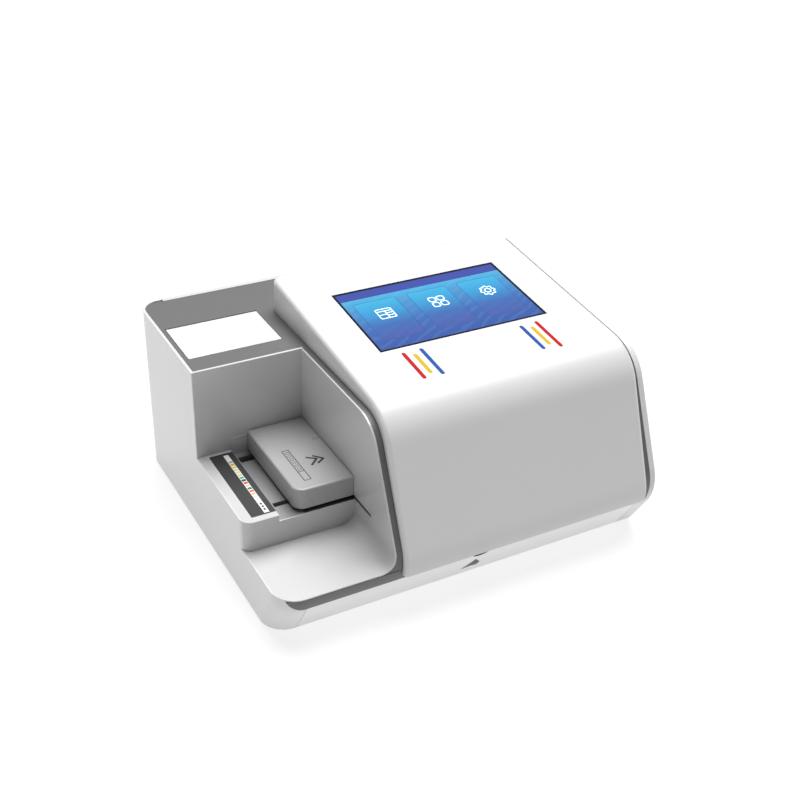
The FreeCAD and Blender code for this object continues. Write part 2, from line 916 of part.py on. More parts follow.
def make_waste_tray():
    """Open tray of the waste drawer, slanted in front, with side rims on the runners."""
    left = flange_left + chassis_sheet + tray_side_gap
    right = flange_right - chassis_sheet - tray_side_gap
    floor = pan_thickness + tray_floor_gap
    outer = core_block(left, right, front_thickness).common(box(left, right, 0, tray_back, floor,
                                                                tray_height))
    inner = core_block(left + tray_wall, right - tray_wall, front_thickness + tray_wall)
    inner = inner.common(box(left, right, 0, tray_back - tray_wall, floor + tray_wall,
                             tray_height + overrun))
    rims = []
    rim_reach = tray_side_gap - runner_thickness - running_gap
    for x0, x1 in ((left - rim_reach, left + tray_wall), (right - tray_wall, right + rim_reach)):
        rims.append(box(x0, x1, chassis_front + rim_start, tray_back, tray_height - tray_wall, tray_height))
    tray = joined([outer.cut(inner)] + rims)
    return tray


def make_drawer_runners():
    """Pair of runners that carry the tray's rims, fixed to the chassis flanges."""
    runners = []
    back = tray_back + runner_stop
    for side in (0, 1):
        inner = flange_left + chassis_sheet
        shelf_end = inner + tray_side_gap - running_gap
        top = tray_height - tray_wall - running_gap
        web = box(inner, inner + runner_thickness, chassis_front, back, pan_thickness + seam,
                  chassis_top - chassis_sheet - seam)
        shelf = box(inner, shelf_end, chassis_front, back, top - runner_thickness, top)
        keeper_low = tray_height + running_gap
        keeper = box(inner, shelf_end, chassis_front, back, keeper_low, keeper_low + runner_thickness)
        stop = box(inner, shelf_end, back - runner_thickness, back, top, keeper_low)
        rail = joined([web, shelf, keeper, stop])
        if side:
            rail = rail.mirror(Vector((flange_left + flange_right) / 2, 0, 0), Vector(1, 0, 0))
        runners.append(rail)
    return Part.makeCompound(runners)


def make_chassis():
    """Sheet-steel bridge over the drawer that carries the inner mechanism."""
    top = box(chassis_left, chassis_right, chassis_front, chassis_back, chassis_top - chassis_sheet,
              chassis_top)
    flanges = []
    for x in (flange_left, flange_right - chassis_sheet):
        flanges.append(box(x, x + chassis_sheet, chassis_front, chassis_back, pan_thickness, chassis_top))
    feet = []
    for x0, x1 in ((flange_left - flange_width, flange_left + chassis_sheet),
                   (flange_right - chassis_sheet, flange_right + flange_width)):
        feet.append(box(x0, x1, chassis_front, chassis_back, pan_thickness, pan_thickness + chassis_sheet))
    sheet = joined([top] + flanges + feet)
    left, right = chute_sides()
    drop = box(left - seam, right + seam, chute_front - seam, chute_back + seam,
               chassis_top - chassis_sheet - seam,
               chassis_top + overrun)
    sheet = sheet.cut(drop)
    for x, y in foot_places():
        sheet = sheet.cut(rod_z(foot_peg_radius + edge_break + seam, x, y, 0,
                                pan_thickness + foot_peg_height + seam))
    for x, y in base_screw_places():
        sheet = sheet.cut(rod_z(boss_radius + seam, x, y, 0, boss_height + screw_reach + seam))
    return sheet


def make_label_panel():
    """Dark inlay beside the strip channel."""
    left = panel_left + seam / 2
    front = panel_front + seam / 2
    corners = [(left, front), (channel_left, front), (channel_left, panel_back - seam / 2),
               (left, panel_back - seam / 2)]
    return slab_z(corners, [panel_radius, 0, 0, panel_radius], pedestal_height - panel_thickness,
                  pedestal_height)


def make_strip_table():
    """Light plate with the two transport slots, from the bay through the bay wall."""
    low = channel_floor - table_thickness
    left = channel_left + channel_rim + seam / 2
    front = pedestal_front + channel_rim + seam / 2
    back = block_front - channel_rim - seam / 2
    table = box(left, table_end, front, back, low, channel_floor)
    for near, far in ((front_slot_near, front_slot_far), (back_slot_near, back_slot_far)):
        table = table.cut(box(slot_start + table_thickness, table_end + overrun, near, far, 0, deck_height))
    ribs = []
    for near, far in ((front_slot_near, front_slot_far), (back_slot_near, back_slot_far)):
        for y in (near - rib_thickness, far):
            ribs.append(box(left, table_end - chute_overlap - chute_sheet - seam, y, y + rib_thickness,
                            low - rib_depth, low + seam))
    bridge = box(left, left + rib_thickness, front, back, low - rib_depth, low + seam)
    return joined([table, bridge] + ribs)


def make_strip_hood():
    """Hollow cover over the strip path, open towards the bay wall."""
    right = bay_wall_x - seam
    back = block_front - seam
    corners = [(hood_left, hood_front), (right, hood_front), (right, back), (hood_left, back)]
    solid = slab_z(corners, [hood_corner_radius, 0, 0, edge_break], hood_low, hood_high)
    top_edges = []
    for edge in solid.Edges:
        bound = edge.BoundBox
        on_top = bound.ZMin > hood_high - same_point
        if on_top and bound.XMin < right - same_point and bound.YMin < back - same_point:
            top_edges.append(edge)
    solid = solid.makeFillet(hood_edge_radius, top_edges)
    inner = [(hood_left + hood_wall, hood_front + hood_wall), (right + overrun, hood_front + hood_wall),
             (right + overrun, back - hood_wall), (hood_left + hood_wall, back - hood_wall)]
    inside = slab_z(inner, [hood_corner_radius - hood_wall, 0, 0, 0], hood_low - overrun,
                    hood_high - hood_wall)
    hood = solid.cut(inside)
    pegs = []
    for x in (hood_left + hood_corner_radius * 2, right - hood_corner_radius):
        pegs.append(rod_z(hood_peg_radius, x, back - hood_peg_radius, channel_floor,
                          hood_high - hood_wall + seam))
    return joined([hood] + pegs)


def chute_sides():
    """Left and right outer faces of the chute."""
    left = table_end - chute_overlap
    return left, left + chute_length


def make_waste_chute():
    """Sheet chute: its left wall carries the table end, its flange rests on the chassis."""
    left, right = chute_sides()
    table_low = channel_floor - table_thickness
    tail = chassis_top - chassis_sheet - chute_tail
    outer = box(left, right, chute_front, chute_back, tail, table_low)
    inner = box(left + chute_sheet, right - chute_sheet, chute_front + chute_sheet,
                chute_back - chute_sheet,
                tail - overrun, table_low + overrun)
    flange = box(left - chute_flange, right + chute_flange, chute_front - chute_flange / 2,
                 chute_back + chute_flange / 2, chassis_top, chassis_top + chute_sheet)
    return joined([outer, flange]).cut(inner)


def make_transport_frame():
    """Folded sheet frame: two end plates, a base strip and the ear for motor and idler."""
    plates = []
    for x in (frame_left, frame_end - frame_sheet):
        plates.append(box(x, x + frame_sheet, frame_front, frame_back, chassis_top, frame_height))
    base = box(frame_left, frame_end, near_rod + rod_radius, far_rod, chassis_top,
               chassis_top + frame_sheet)
    ear_front = frame_back - motor_plate
    for x0, x1 in ((frame_left, frame_left + ear_width), (frame_end - ear_width - frame_sheet, frame_end)):
        plates.append(box(x0, x1, ear_front, frame_back, chassis_top, frame_height))
    frame = joined(plates + [base])
    for y in (near_rod, far_rod):
        frame = frame.cut(rod_x(rod_radius, frame_left - overrun, frame_end + overrun, y, rod_height))
    frame = frame.cut(rod_y(pin_radius, idler_place, ear_front - overrun, frame_back + overrun,
                            pulley_height))
    return frame.cut(rod_y(pin_radius + running_gap, driver_place, ear_front - overrun / 2,
                           frame_back + overrun,
                           pulley_height))


def make_guide_rods():
    """Two ground rods for the pusher carriage."""
    rods = [rod_x(rod_radius, frame_left, frame_end, y, rod_height) for y in (near_rod, far_rod)]
    return Part.makeCompound(rods)


def carriage_ends():
    """Left and right faces of the carriage at rest."""
    return carriage_rest - carriage_length / 2, carriage_rest + carriage_length / 2


def make_transport_carriage():
    """Carriage with a belt clamp and a crossbar whose two blades stand in the slots."""
    left, right = carriage_ends()
    bar_top = channel_floor - table_thickness - rib_depth - crossbar_gap
    bar_low = bar_top - crossbar_thickness
    block = box(left, right, carriage_front, carriage_back, carriage_low, bar_top)
    clamp_left = carriage_rest - crossbar_width / 2
    clamp_right = carriage_rest + crossbar_width / 2
    clamp = box(clamp_left, clamp_right, carriage_back - overrun / 2, clamp_back, bar_top - clamp_depth,
                bar_top)
    blade_front = front_slot_near + blade_side_gap
    bar = box(clamp_left, clamp_right, blade_front, carriage_front + rod_radius, bar_low, bar_top)
    blades = []
    for near, far in ((front_slot_near, front_slot_far), (back_slot_near, back_slot_far)):
        blades.append(box(clamp_right - blade_width, clamp_right, near + blade_side_gap,
                          far - blade_side_gap,
                          bar_low, channel_floor + blade_height))
    body = joined([block, clamp, bar] + blades)
    for y in (near_rod, far_rod):
        body = body.cut(rod_x(rod_radius + running_gap, left - overrun, right + overrun, y, rod_height))
        body = body.cut(rod_x(bush_radius, left - overrun, left + bush_length, y, rod_height))
        body = body.cut(rod_x(bush_radius, right - bush_length, right + overrun, y, rod_height))
    top_run = pulley_height + pulley_radius
    return body.cut(box(left - overrun, right + overrun, belt_place - belt_width / 2 - belt_gap,
                        belt_place + belt_width / 2 + belt_gap, top_run - belt_gap,
                        top_run + belt_thickness + belt_gap))


def make_rod_bushes():
    """Four bronze bushes pressed into the carriage."""
    left, right = carriage_ends()
    bushes = []
    for y in (near_rod, far_rod):
        for x in (left, right - bush_length):
            sleeve = rod_x(bush_radius, x, x + bush_length, y, rod_height)
            bushes.append(sleeve.cut(rod_x(rod_radius + rod_fit, x - overrun, x + overrun, y, rod_height)))
    return Part.makeCompound(bushes)


def belt_loop(radius, y0, y1):
    """Solid bounded by a belt line of a radius round both pulleys."""
    run = box(idler_place, driver_place, y0, y1, pulley_height - radius, pulley_height + radius)
    ends = [rod_y(radius, x, y0, y1, pulley_height) for x in (idler_place, driver_place)]
    return joined([run] + ends)


def make_drive_belt():
    """Flat closed belt round the two pulleys."""
    y0 = belt_place - belt_width / 2
    y1 = belt_place + belt_width / 2
    inner = belt_loop(pulley_radius, y0 - overrun, y1 + overrun)
    return belt_loop(pulley_radius + belt_thickness, y0, y1).cut(inner)


def pulley(place, bore):
    """Pulley with two thin flanges; its rim stands just clear of the belt."""
    y0 = belt_place - belt_width / 2 - belt_gap
    y1 = belt_place + belt_width / 2 + belt_gap
    rim = rod_y(pulley_radius - belt_gap / 3, place, y0, y1, pulley_height)
    flanges = []
    for y in (y0 - pulley_flange_thickness, y1):
        flanges.append(rod_y(pulley_radius + pulley_flange, place, y, y + pulley_flange_thickness,
                             pulley_height))
    whole = joined([rim] + flanges)
    return whole.cut(rod_y(bore, place, y0 - overrun, y1 + overrun, pulley_height))


def make_idler_pin():
    """Pin in the frame's ear on which the idler turns."""
    front = belt_place - belt_width / 2 - belt_gap - pulley_flange_thickness - running_gap
    head = rod_y(pin_radius + pulley_flange, idler_place, front - pulley_flange_thickness, front,
                 pulley_height)
    return joined([rod_y(pin_radius, idler_place, front - pulley_flange_thickness / 2, frame_back,
                         pulley_height), head])


def make_transport_motor():
    """Small stepping motor on the frame's ear, with its mounting tabs."""
    body = rod_y(motor_radius, driver_place, frame_back, frame_back + motor_length, pulley_height)
    body = body.cut(box(0, width, 0, depth, 0, chassis_top + seam))
    tab = box(driver_place - motor_radius - motor_ear / 3, driver_place + motor_radius + motor_ear / 3,
              frame_back,
              frame_back + motor_plate, pulley_height - motor_ear / 2, pulley_height + motor_ear / 2)
    whole = joined([body, tab])
    return whole.cut(rod_y(pin_radius + rod_fit, driver_place, frame_back - overrun,
                           frame_back + motor_length / 2,
                           pulley_height))


def make_driver_pulley():
    """Drive pulley on the motor's shaft."""
    front = belt_place - belt_width / 2 - belt_gap - pulley_flange_thickness
    shaft = rod_y(pin_radius, driver_place, front, frame_back + motor_length / 2 - seam, pulley_height)
    return joined([pulley(driver_place, pin_radius), shaft])


def reader_rod_places():
    """Places along x of the two reader rods."""
    return reader_left + reader_rod_inset, reader_right - reader_rod_inset


def make_reader_frame():
    """Two legs that stand on the chassis and carry the reader's rods and screw."""
    middle = (reader_left + reader_right) / 2
    plates = []
    for y, reach in ((reader_front, reader_foot), (reader_back, -reader_foot)):
        plates.append(box(reader_left, reader_right, y, y + reader_sheet, chassis_top, reader_height))
        low = min(y, y + reach)
        plates.append(box(reader_left, reader_right, low, low + reader_foot + reader_sheet, chassis_top,
                          chassis_top + reader_sheet))
    frame = joined(plates[:2])
    rear = joined(plates[2:])
    for x in reader_rod_places():
        bar = rod_y(rod_radius, x, reader_front - overrun, reader_back + overrun, reader_rod_height)
        frame = frame.cut(bar)
        rear = rear.cut(bar)
    journal = rod_y(screw_core + rod_fit, middle, reader_front - overrun, reader_back + overrun,
                    reader_rod_height)
    return Part.makeCompound([frame.cut(journal), rear.cut(journal)])


def make_reader_rods():
    """Two rods that guide the reader head over the strip."""
    rods = [rod_y(rod_radius, x, reader_front, reader_back + reader_sheet, reader_rod_height)
            for x in reader_rod_places()]
    return Part.makeCompound(rods)


def make_reader_head():
    """Reader head: a housing with three bores and a stepped nose for the lens."""
    left = reader_left + head_side
    right = reader_right - head_side
    front = head_rest - head_length / 2
    back = head_rest + head_length / 2
    middle = (reader_left + reader_right) / 2
    body = box(left, right, front, back, head_low, head_high)
    upright = [edge for edge in body.Edges if edge.BoundBox.ZLength > head_length / 2]
    body = body.makeFillet(head_side, upright)
    nose = rod_z(lens_radius + head_side, middle, head_rest, head_low - lens_height, head_low + seam)
    body = joined([body, nose])
    body = body.cut(rod_z(lens_radius, middle, head_rest, head_low - lens_height - seam,
                          head_low + lens_height))
    for x in reader_rod_places():
        body = body.cut(rod_y(rod_radius + rod_fit, x, front - overrun, back + overrun, reader_rod_height))
    return body.cut(rod_y(screw_core + rod_fit, middle, front - overrun, back + overrun, reader_rod_height))


def make_reader_lens():
    """Lens in the reader head's nose."""
    middle = (reader_left + reader_right) / 2
    low = head_low - lens_height
    disc = rod_z(lens_radius, middle, head_rest, low + edge_break, head_low + lens_height - edge_break)
    return disc


def make_reader_screw():
    """Lead screw between the reader's legs, driven from the rear."""
    middle = (reader_left + reader_right) / 2
    collar = rod_y(screw_core + pulley_flange, middle, reader_front + reader_sheet + running_gap,
                   reader_front + reader_sheet + running_gap + pulley_flange, reader_rod_height)
    shaft = rod_y(screw_core, middle, reader_front - reader_sheet, reader_back + screw_motor_length / 2,
                  reader_rod_height)
    return joined([shaft, collar])


def make_reader_motor():
    """Stepping motor behind the rear leg, round the screw's end."""
    middle = (reader_left + reader_right) / 2
    start = reader_back + reader_sheet
    body = rod_y(screw_motor_radius, middle, start, start + screw_motor_length, reader_rod_height)
    return body.cut(rod_y(screw_core + rod_fit, middle, start - overrun,
                          reader_back + screw_motor_length / 2 + seam,
                          reader_rod_height))


def make_paper_bucket():
    """Moulded well under the paper door: roll room, shelf for the print head, gear room."""
    top = deck_height - lid_thickness - seam / 4
    outer = box(bucket_left, bucket_right, bucket_front, bucket_back, bucket_low, top)
    flange = box(bucket_left - bucket_flange, bucket_right + bucket_flange, bucket_front - bucket_flange,
                 lid_pin_place, top - bucket_flange_thickness, top)
    body = joined([outer, flange])
    inner_left = bucket_left + bucket_wall
    inner_back = bucket_back - bucket_wall
    shelf = head_shelf_height()
    roll_room = box(inner_left, roll_room_right, roll_room_front, inner_back, bucket_low + bucket_wall,
                    top + overrun)
    head_room = box(inner_left, roll_room_right, bucket_front + bucket_wall,
                    roll_room_front + bucket_wall, shelf,
                    top + overrun)
    gear_left = roll_room_right + bucket_wall
    gear_right = bucket_right - bucket_wall
    reach = gear_tip_radius(drive_teeth) + gear_side_gap
    gear_room = box(gear_left, gear_right, platen_place - reach, platen_place + reach,
                    drive_gear_height() - reach, top + overrun)
    body = body.cut(roll_room).cut(head_room).cut(gear_room)
    shaft_slot = box(roll_room_right - seam, gear_left + seam, platen_place - platen_shaft - running_gap,
                     platen_place + platen_shaft + running_gap, platen_height - platen_shaft - running_gap,
                     top + overrun)
    body = body.cut(shaft_slot)
    body = body.cut(rod_x(printer_shaft + running_gap, gear_right - seam, bucket_right + seam, platen_place,
                          drive_gear_height()))
    under = box(bucket_left - seam, bucket_right + seam, bucket_front - seam, roll_room_front - bucket_wall,
                bucket_low - seam, shelf - bucket_wall)
    keep = box(gear_left - bucket_wall, bucket_right, bucket_front, roll_room_front,
               drive_gear_height() - reach - bucket_wall, shelf)
    body = body.cut(under.cut(keep)).cut(lid_tail_room())
    return body.cut(rod_x(lid_pin_radius, inner_left - bucket_wall / 2, gear_left - bucket_wall / 2,
                          lid_pin_place,
                          lid_pin_height))


def lid_tail_room():
    """Room that the paper door's back edge swings through behind and under its pin."""
    behind = lid_front + lid_length - lid_pin_place
    reach = math.hypot(behind, deck_height - lid_pin_height) + running_gap
    lean = reach * tangent(lid_swing)
    corners = [(lid_pin_place, lid_pin_height), (lid_pin_place - lean, lid_pin_height - reach),
               (lid_pin_place + reach, lid_pin_height - reach), (lid_pin_place + reach, deck_height),
               (lid_pin_place, deck_height)]
    sector = slab_x(corners, [0, 0, 0, 0, 0], 0, width)
    swept = rod_x(reach, 0, width, lid_pin_place, lid_pin_height)
    seat = rod_x(lid_seat_radius, 0, width, lid_pin_place, lid_pin_height)
    return sector.common(swept).cut(seat)


def head_shelf_height():
    """Top of the shelf under the print head."""
    return platen_height - platen_radius - head_shelf_gap - thermal_thickness


def gear_tip_radius(teeth):
    """Outer radius of a gear."""
    return gear_module * (teeth / 2 + 1)


def drive_gear_height():
    """Height of the drive gear's axis, in mesh straight below the platen's gear."""
    return platen_height - gear_module * (platen_teeth + drive_teeth) / 2


def gear(teeth, x0, x1, y, z, first_angle):
    """Spur gear along x; flanks run straight from root to tip, first tooth at an angle."""
    pitch_radius = gear_module * teeth / 2
    root = pitch_radius - gear_module * gear_root_share
    tip = pitch_radius + gear_module * gear_tip_share
    half_pitch = math.pi / teeth / 2
    slack = gear_backlash / pitch_radius / 2
    root_half = half_pitch * gear_root_width_share - slack
    tip_half = half_pitch * gear_tip_width_share - slack / 2
    points = []
    for tooth in range(teeth):
        centre = math.radians(first_angle) + 2 * math.pi * tooth / teeth
        for radius, turn in ((root, -root_half), (tip, -tip_half), (tip, tip_half), (root, root_half)):
            angle = centre + turn
            points.append(Vector(x0, y + radius * math.cos(angle), z + radius * math.sin(angle)))
    points.append(points[0])
    return Part.Face(Part.makePolygon(points)).extrude(Vector(x1 - x0, 0, 0))


def make_platen_roller():
    """Rubber-covered roller with its shaft and gear."""
    right = platen_left + roll_width
    gear_left = roll_room_right + bucket_wall + gear_side_gap / 2
    roller = rod_x(platen_radius, platen_left, right, platen_place, platen_height)
    shaft = rod_x(platen_shaft, platen_left - arm_reach, gear_left + gear_width, platen_place,
                  platen_height)
    wheel = gear(platen_teeth, gear_left, gear_left + gear_width, platen_place, platen_height,
                 90 + 180 / platen_teeth * (platen_teeth % 2 + 1))
    return joined([roller, shaft, wheel])


def make_drive_gear():
    """Gear on the printer motor's shaft."""
    gear_left = roll_room_right + bucket_wall + gear_side_gap / 2
    height = drive_gear_height()
    wheel = gear(drive_teeth, gear_left, gear_left + gear_width, platen_place, height, 90)
    shaft = rod_x(printer_shaft, gear_left, bucket_right + printer_motor_length / 2, platen_place, height)
    return joined([wheel, shaft])


def make_printer_motor():
    """Small motor on the outside of the paper bucket."""
    height = drive_gear_height()
    body = rod_x(printer_motor_radius, bucket_right, bucket_right + printer_motor_length, platen_place,
                 height)
    return body.cut(rod_x(printer_shaft + rod_fit, bucket_right - overrun,
                          bucket_right + printer_motor_length / 2 + seam, platen_place, height))


def make_thermal_head():
    """Print head bar on its shelf, with a raised heater line below the roller."""
    low = head_shelf_height()
    near = platen_place - thermal_width / 2
    base = box(platen_left, platen_left + roll_width, near, near + thermal_width, low,
               low + thermal_thickness - edge_break)
    line = box(platen_left, platen_left + roll_width, platen_place - thermal_width / 4,
               platen_place + thermal_width / 4, low, low + thermal_thickness)
    return joined([base, line])


def make_paper_roll():
    """Roll of thermal paper on its core, lying in the bucket."""
    left = bucket_left + bucket_wall
    start = (left + roll_room_right - roll_width) / 2
    y = roll_room_front + (bucket_back - bucket_wall - roll_room_front) / 2
    z = bucket_low + bucket_wall + roll_gap + roll_radius
    roll = rod_x(roll_radius, start, start + roll_width, y, z)
    return roll.cut(rod_x(roll_core, start - overrun, start + roll_width + overrun, y, z))


def make_printer_lid():
    """Paper door: a flush plate with two roller arms and two hinge lugs."""
    low = deck_height - lid_thickness
    back = lid_front + lid_length
    side = [(lid_front, low), (back, low), (back, deck_height - lid_back_chamfer),
            (back - lid_back_chamfer, deck_height), (lid_front, deck_height)]
    plate = slab_x(side, [0, 0, 0, 0, 0], lid_left, lid_left + lid_width)
    front_corners = []
    for edge in plate.Edges:
        if edge.BoundBox.ZLength > lid_thickness / 2 and edge.BoundBox.YMax < lid_front + same_point:
            front_corners.append(edge)
    plate = plate.makeFillet(edge_break, front_corners)
    pieces = [plate]
    right = platen_left + roll_width
    for x in (platen_left - running_gap - arm_thickness, right + running_gap):
        arm = box(x, x + arm_thickness, platen_place - platen_radius, platen_place + platen_radius,
                  platen_height, low + seam)
        nose = rod_x(platen_shaft + arm_reach, x, x + arm_thickness, platen_place, platen_height)
        pieces += [arm, nose]
    hinge_left = bucket_left + bucket_wall + lid_lug_inset
    hinge_right = roll_room_right - lid_lug_inset - lid_lug_width
    for x in (hinge_left, hinge_right):
        lug_radius = lid_pin_radius + lid_thickness
        pieces.append(rod_x(lug_radius, x, x + lid_lug_width, lid_pin_place, lid_pin_height))
    lid = joined(pieces)
    above = box(0, width, 0, depth, deck_height, deck_height + overrun)
    lid = lid.cut(above)
    bore_end = roll_room_right + bucket_wall
    lid = lid.cut(rod_x(platen_shaft + rod_fit, 0, bore_end, platen_place, platen_height))
    return lid.cut(rod_x(lid_pin_radius + rod_fit, bucket_left, bore_end, lid_pin_place, lid_pin_height))


def make_lid_pin():
    """Hinge pin of the paper door, held in the bucket's walls."""
    left = bucket_left + bucket_wall / 2
    return rod_x(lid_pin_radius, left, roll_room_right + bucket_wall / 2, lid_pin_place, lid_pin_height)


def make_touch_glass():
    """Front glass in the cover's screen opening."""
    low = -glass_recess - glass_thickness
    return screen_block(screen_frame - seam / 2, low, -glass_recess)


def make_lcd_module():
    """Display module: a front part in the opening and a wider case under the cover."""
    under_glass = -glass_recess - glass_thickness
    under_cover = -cover_wall - seam / 2
    front = screen_block(screen_frame - seam / 2, under_cover - seam, under_glass)
    case = screen_block(lcd_border, under_cover - lcd_thickness, under_cover)
    return joined([front, case])


def make_display_bracket():
    """Frame under the cover that clamps the display module round its edge."""
    under_cover = -cover_wall
    low = -cover_wall - seam - lcd_thickness - bracket_sheet
    ring = screen_block(lcd_border + bracket_foot / 2, low, under_cover)
    pocket = screen_block(lcd_border + seam / 2, -cover_wall - seam / 2 - lcd_thickness,
                          under_cover + overrun)
    window = screen_block(-bracket_foot / 2, low - overrun, under_cover + overrun)
    return ring.cut(pocket).cut(window)


def board_corners():
    """Places of the main board's four screws in plan."""
    places = []
    for x in (board_left + board_hole_inset, board_left + board_width - board_hole_inset):
        for y in (board_front + board_hole_inset, board_front + board_depth - board_hole_inset):
            places.append((x, y))
    return places


def make_main_board():
    """Circuit board with its screw holes."""
    board = box(board_left, board_left + board_width, board_front, board_front + board_depth, board_height,
                board_height + board_thickness)
    for x, y in board_corners():
        board = board.cut(rod_z(screw_radius + running_gap / 4, x, y, board_height - overrun,
                                board_height + overrun))
    return board


def make_board_parts():
    """Chips, capacitors and connectors that stand on the main board."""
    base = board_height + board_thickness
    parts = []
    for (x_share, y_share, w_share, d_share), rise in zip(board_part_shares, board_part_heights):
        x = board_left + x_share * board_width
        y = board_front + y_share * board_depth
        parts.append(box(x, x + w_share * board_width, y, y + d_share * board_depth, base, base + rise))
    for x_share, y_share in board_can_shares:
        x = board_left + x_share * board_width
        y = board_front + y_share * board_depth
        parts.append(rod_z(can_radius, x, y, base, base + can_height))
    return Part.makeCompound(parts)


def make_standoffs():
    """Four threaded pillars under the main board."""
    pillars = [rod_z(standoff_radius, x, y, chassis_top, board_height) for x, y in board_corners()]
    return Part.makeCompound(pillars)


def make_board_screws():
    """Four screws that hold the main board on its pillars."""
    top = board_height + board_thickness
    screws = []
    for x, y in board_corners():
        head = rod_z(screw_head_radius, x, y, top, top + screw_head_thickness)
        shank = rod_z(screw_radius, x, y, board_height, top)
        screws.append(joined([head, shank]))
    return Part.makeCompound(screws)


def make_power_supply():
    """Sheet-metal power supply with vent slots, on the chassis."""
    left = supply_left
    right = supply_left + supply_width
    back = supply_front + supply_depth
    top = chassis_top + supply_height
    case = box(left, right, supply_front, back, chassis_top, top)
    inner = box(left + supply_sheet, right - supply_sheet, supply_front + supply_sheet, back - supply_sheet,
                chassis_top + supply_sheet, top - supply_sheet)
    case = case.cut(inner)
    pitch = supply_width / (supply_slots + 1)
    for slot in range(supply_slots):
        x = left + (slot + 1) * pitch
        case = case.cut(box(x - supply_sheet, x + supply_sheet, supply_front + supply_depth / 4,
                            back - supply_depth / 4, top - supply_sheet - seam, top + overrun))
    return case


def make_display_cable():
    """Flat cable from the main board up to the back of the display module."""
    start_y = board_front + board_depth / 2
    bottom = board_height + board_thickness + cable_lift
    x0 = board_left + cable_inset
    middle_y = start_y + cable_run
    end_y = middle_y + cable_run
    outer = [(start_y, bottom), (middle_y, bottom), (middle_y, display_back_height(middle_y) - cable_drop),
             (end_y, display_back_height(end_y) - cable_drop)]
    path = [Vector(x0, y, z) for y, z in outer]
    return ribbon(path, x0)


def display_back_height(y):
    """Height of the display module's back at a place along y."""
    return cover_top(y, cover_wall + seam / 2 + lcd_thickness)


def ribbon(path, x0):
    """Flat band of the cable's thickness along straight runs with rounded bends."""
    upper = []
    lower = []
    for i, point in enumerate(path):
        before = path[max(i - 1, 0)]
        after = path[min(i + 1, len(path) - 1)]
        along = after - before if i in (0, len(path) - 1) else None
        if along is not None:
            along.normalize()
            normal = Vector(0, -along.z, along.y)
            upper.append(point + normal * (cable_thickness / 2))
            lower.append(point - normal * (cable_thickness / 2))
        else:
            first = point - before
            second = after - point
            first.normalize()
            second.normalize()
            normal_one = Vector(0, -first.z, first.y)
            normal_two = Vector(0, -second.z, second.y)
            mitre = normal_one + normal_two
            mitre.normalize()
            reach = cable_thickness / 2 / mitre.dot(normal_one)
            upper.append(point + mitre * reach)
            lower.append(point - mitre * reach)
    radii_up = [0] + [cable_bend] * (len(path) - 2) + [0]
    corners = upper + lower[::-1]
    return Part.Face(rounded_wire(corners, radii_up + radii_up)).extrude(Vector(cable_width, 0, 0))


def make_mains_inlet():
    """Mains inlet: flange, body, hooded mouth and three flat pins."""
    flange = socket_block(mains_place, mains_width + mains_flange * 2, mains_high + mains_flange * 2,
                          -back_inset, 0, 0)
    body = socket_block(mains_place, mains_width, mains_high, 0, mains_depth, 0)
    whole = joined([flange, body])
    half_w = mains_mouth_width / 2
    half_h = mains_mouth_high / 2
    face = depth
    corners = [
        (mains_place - half_w, socket_height - half_h),
        (mains_place + half_w, socket_height - half_h),
        (mains_place + half_w, socket_height + half_h - mains_mouth_chamfer),
        (mains_place + half_w - mains_mouth_chamfer, socket_height + half_h),
        (mains_place - half_w + mains_mouth_chamfer, socket_height + half_h),
        (mains_place - half_w, socket_height + half_h - mains_mouth_chamfer),
    ]
    mouth = slab_y(corners, [0, 0, 0, 0, 0, 0], face - mains_mouth_depth, face + overrun)
    return whole.cut([mouth] + mains_pin_blocks())


def mains_pin_blocks():
    """Three flat pins in the mains inlet's mouth."""
    pins = []
    back = depth - mains_mouth_depth - blade_pin_width
    front = depth - blade_pin_drop
    for x, z in ((mains_place - blade_pin_pitch, socket_height),
                 (mains_place, socket_height + blade_pin_drop),
                 (mains_place + blade_pin_pitch, socket_height)):
        pins.append(box(x - blade_pin_width / 2, x + blade_pin_width / 2, back, front,
                        z - blade_pin_high / 2,
                        z + blade_pin_high / 2))
    return pins


def make_switch_frame():
    """Frame and body of the rocker switch."""
    rim = socket_block(switch_place, switch_width + switch_bezel * 2, switch_high + switch_bezel * 2,
                       -back_inset / 2, 0, 0)
    body = socket_block(switch_place, switch_width, switch_high, 0, switch_depth, 0)
    whole = joined([rim, body])
    return whole.cut(socket_block(switch_place, switch_width - switch_bezel * 2,
                                  switch_high - switch_bezel * 2,
                                  -overrun, switch_depth - switch_bezel, 0))


def rocker_axis():
    """Place along y of the rocker's axis."""
    return depth - back_inset - rocker_rise


def make_switch_rocker():
    """Rocker: a bar with a shallow V face that tips on an axis along x."""
    half_w = switch_width / 2 - switch_bezel - rocker_gap
    half_h = switch_high / 2 - switch_bezel - rocker_gap - rocker_rise / 2
    axis_y = rocker_axis()
    front = depth - back_inset / 2
    rise = half_h * tangent(rocker_tilt)
    corners = [
        (axis_y, socket_height - half_h),
        (front - rise, socket_height - half_h),
        (front, socket_height),
        (front - rise / 2, socket_height + half_h),
        (axis_y, socket_height + half_h),
    ]
    rocker = slab_x(corners, [0, 0, 0, 0, 0], switch_place - half_w, switch_place + half_w)
    boss = rod_x(rocker_rise, switch_place - half_w, switch_place + half_w, axis_y, socket_height)
    rocker = joined([rocker, boss])
    return tipped_rocker(rocker)


def tipped_rocker(shape):
    """Rocker turned to its off position."""
    turned = shape.copy()
    turned.rotate(Vector(switch_place, rocker_axis(), socket_height), Vector(1, 0, 0), rocker_tilt / 2)
    return turned


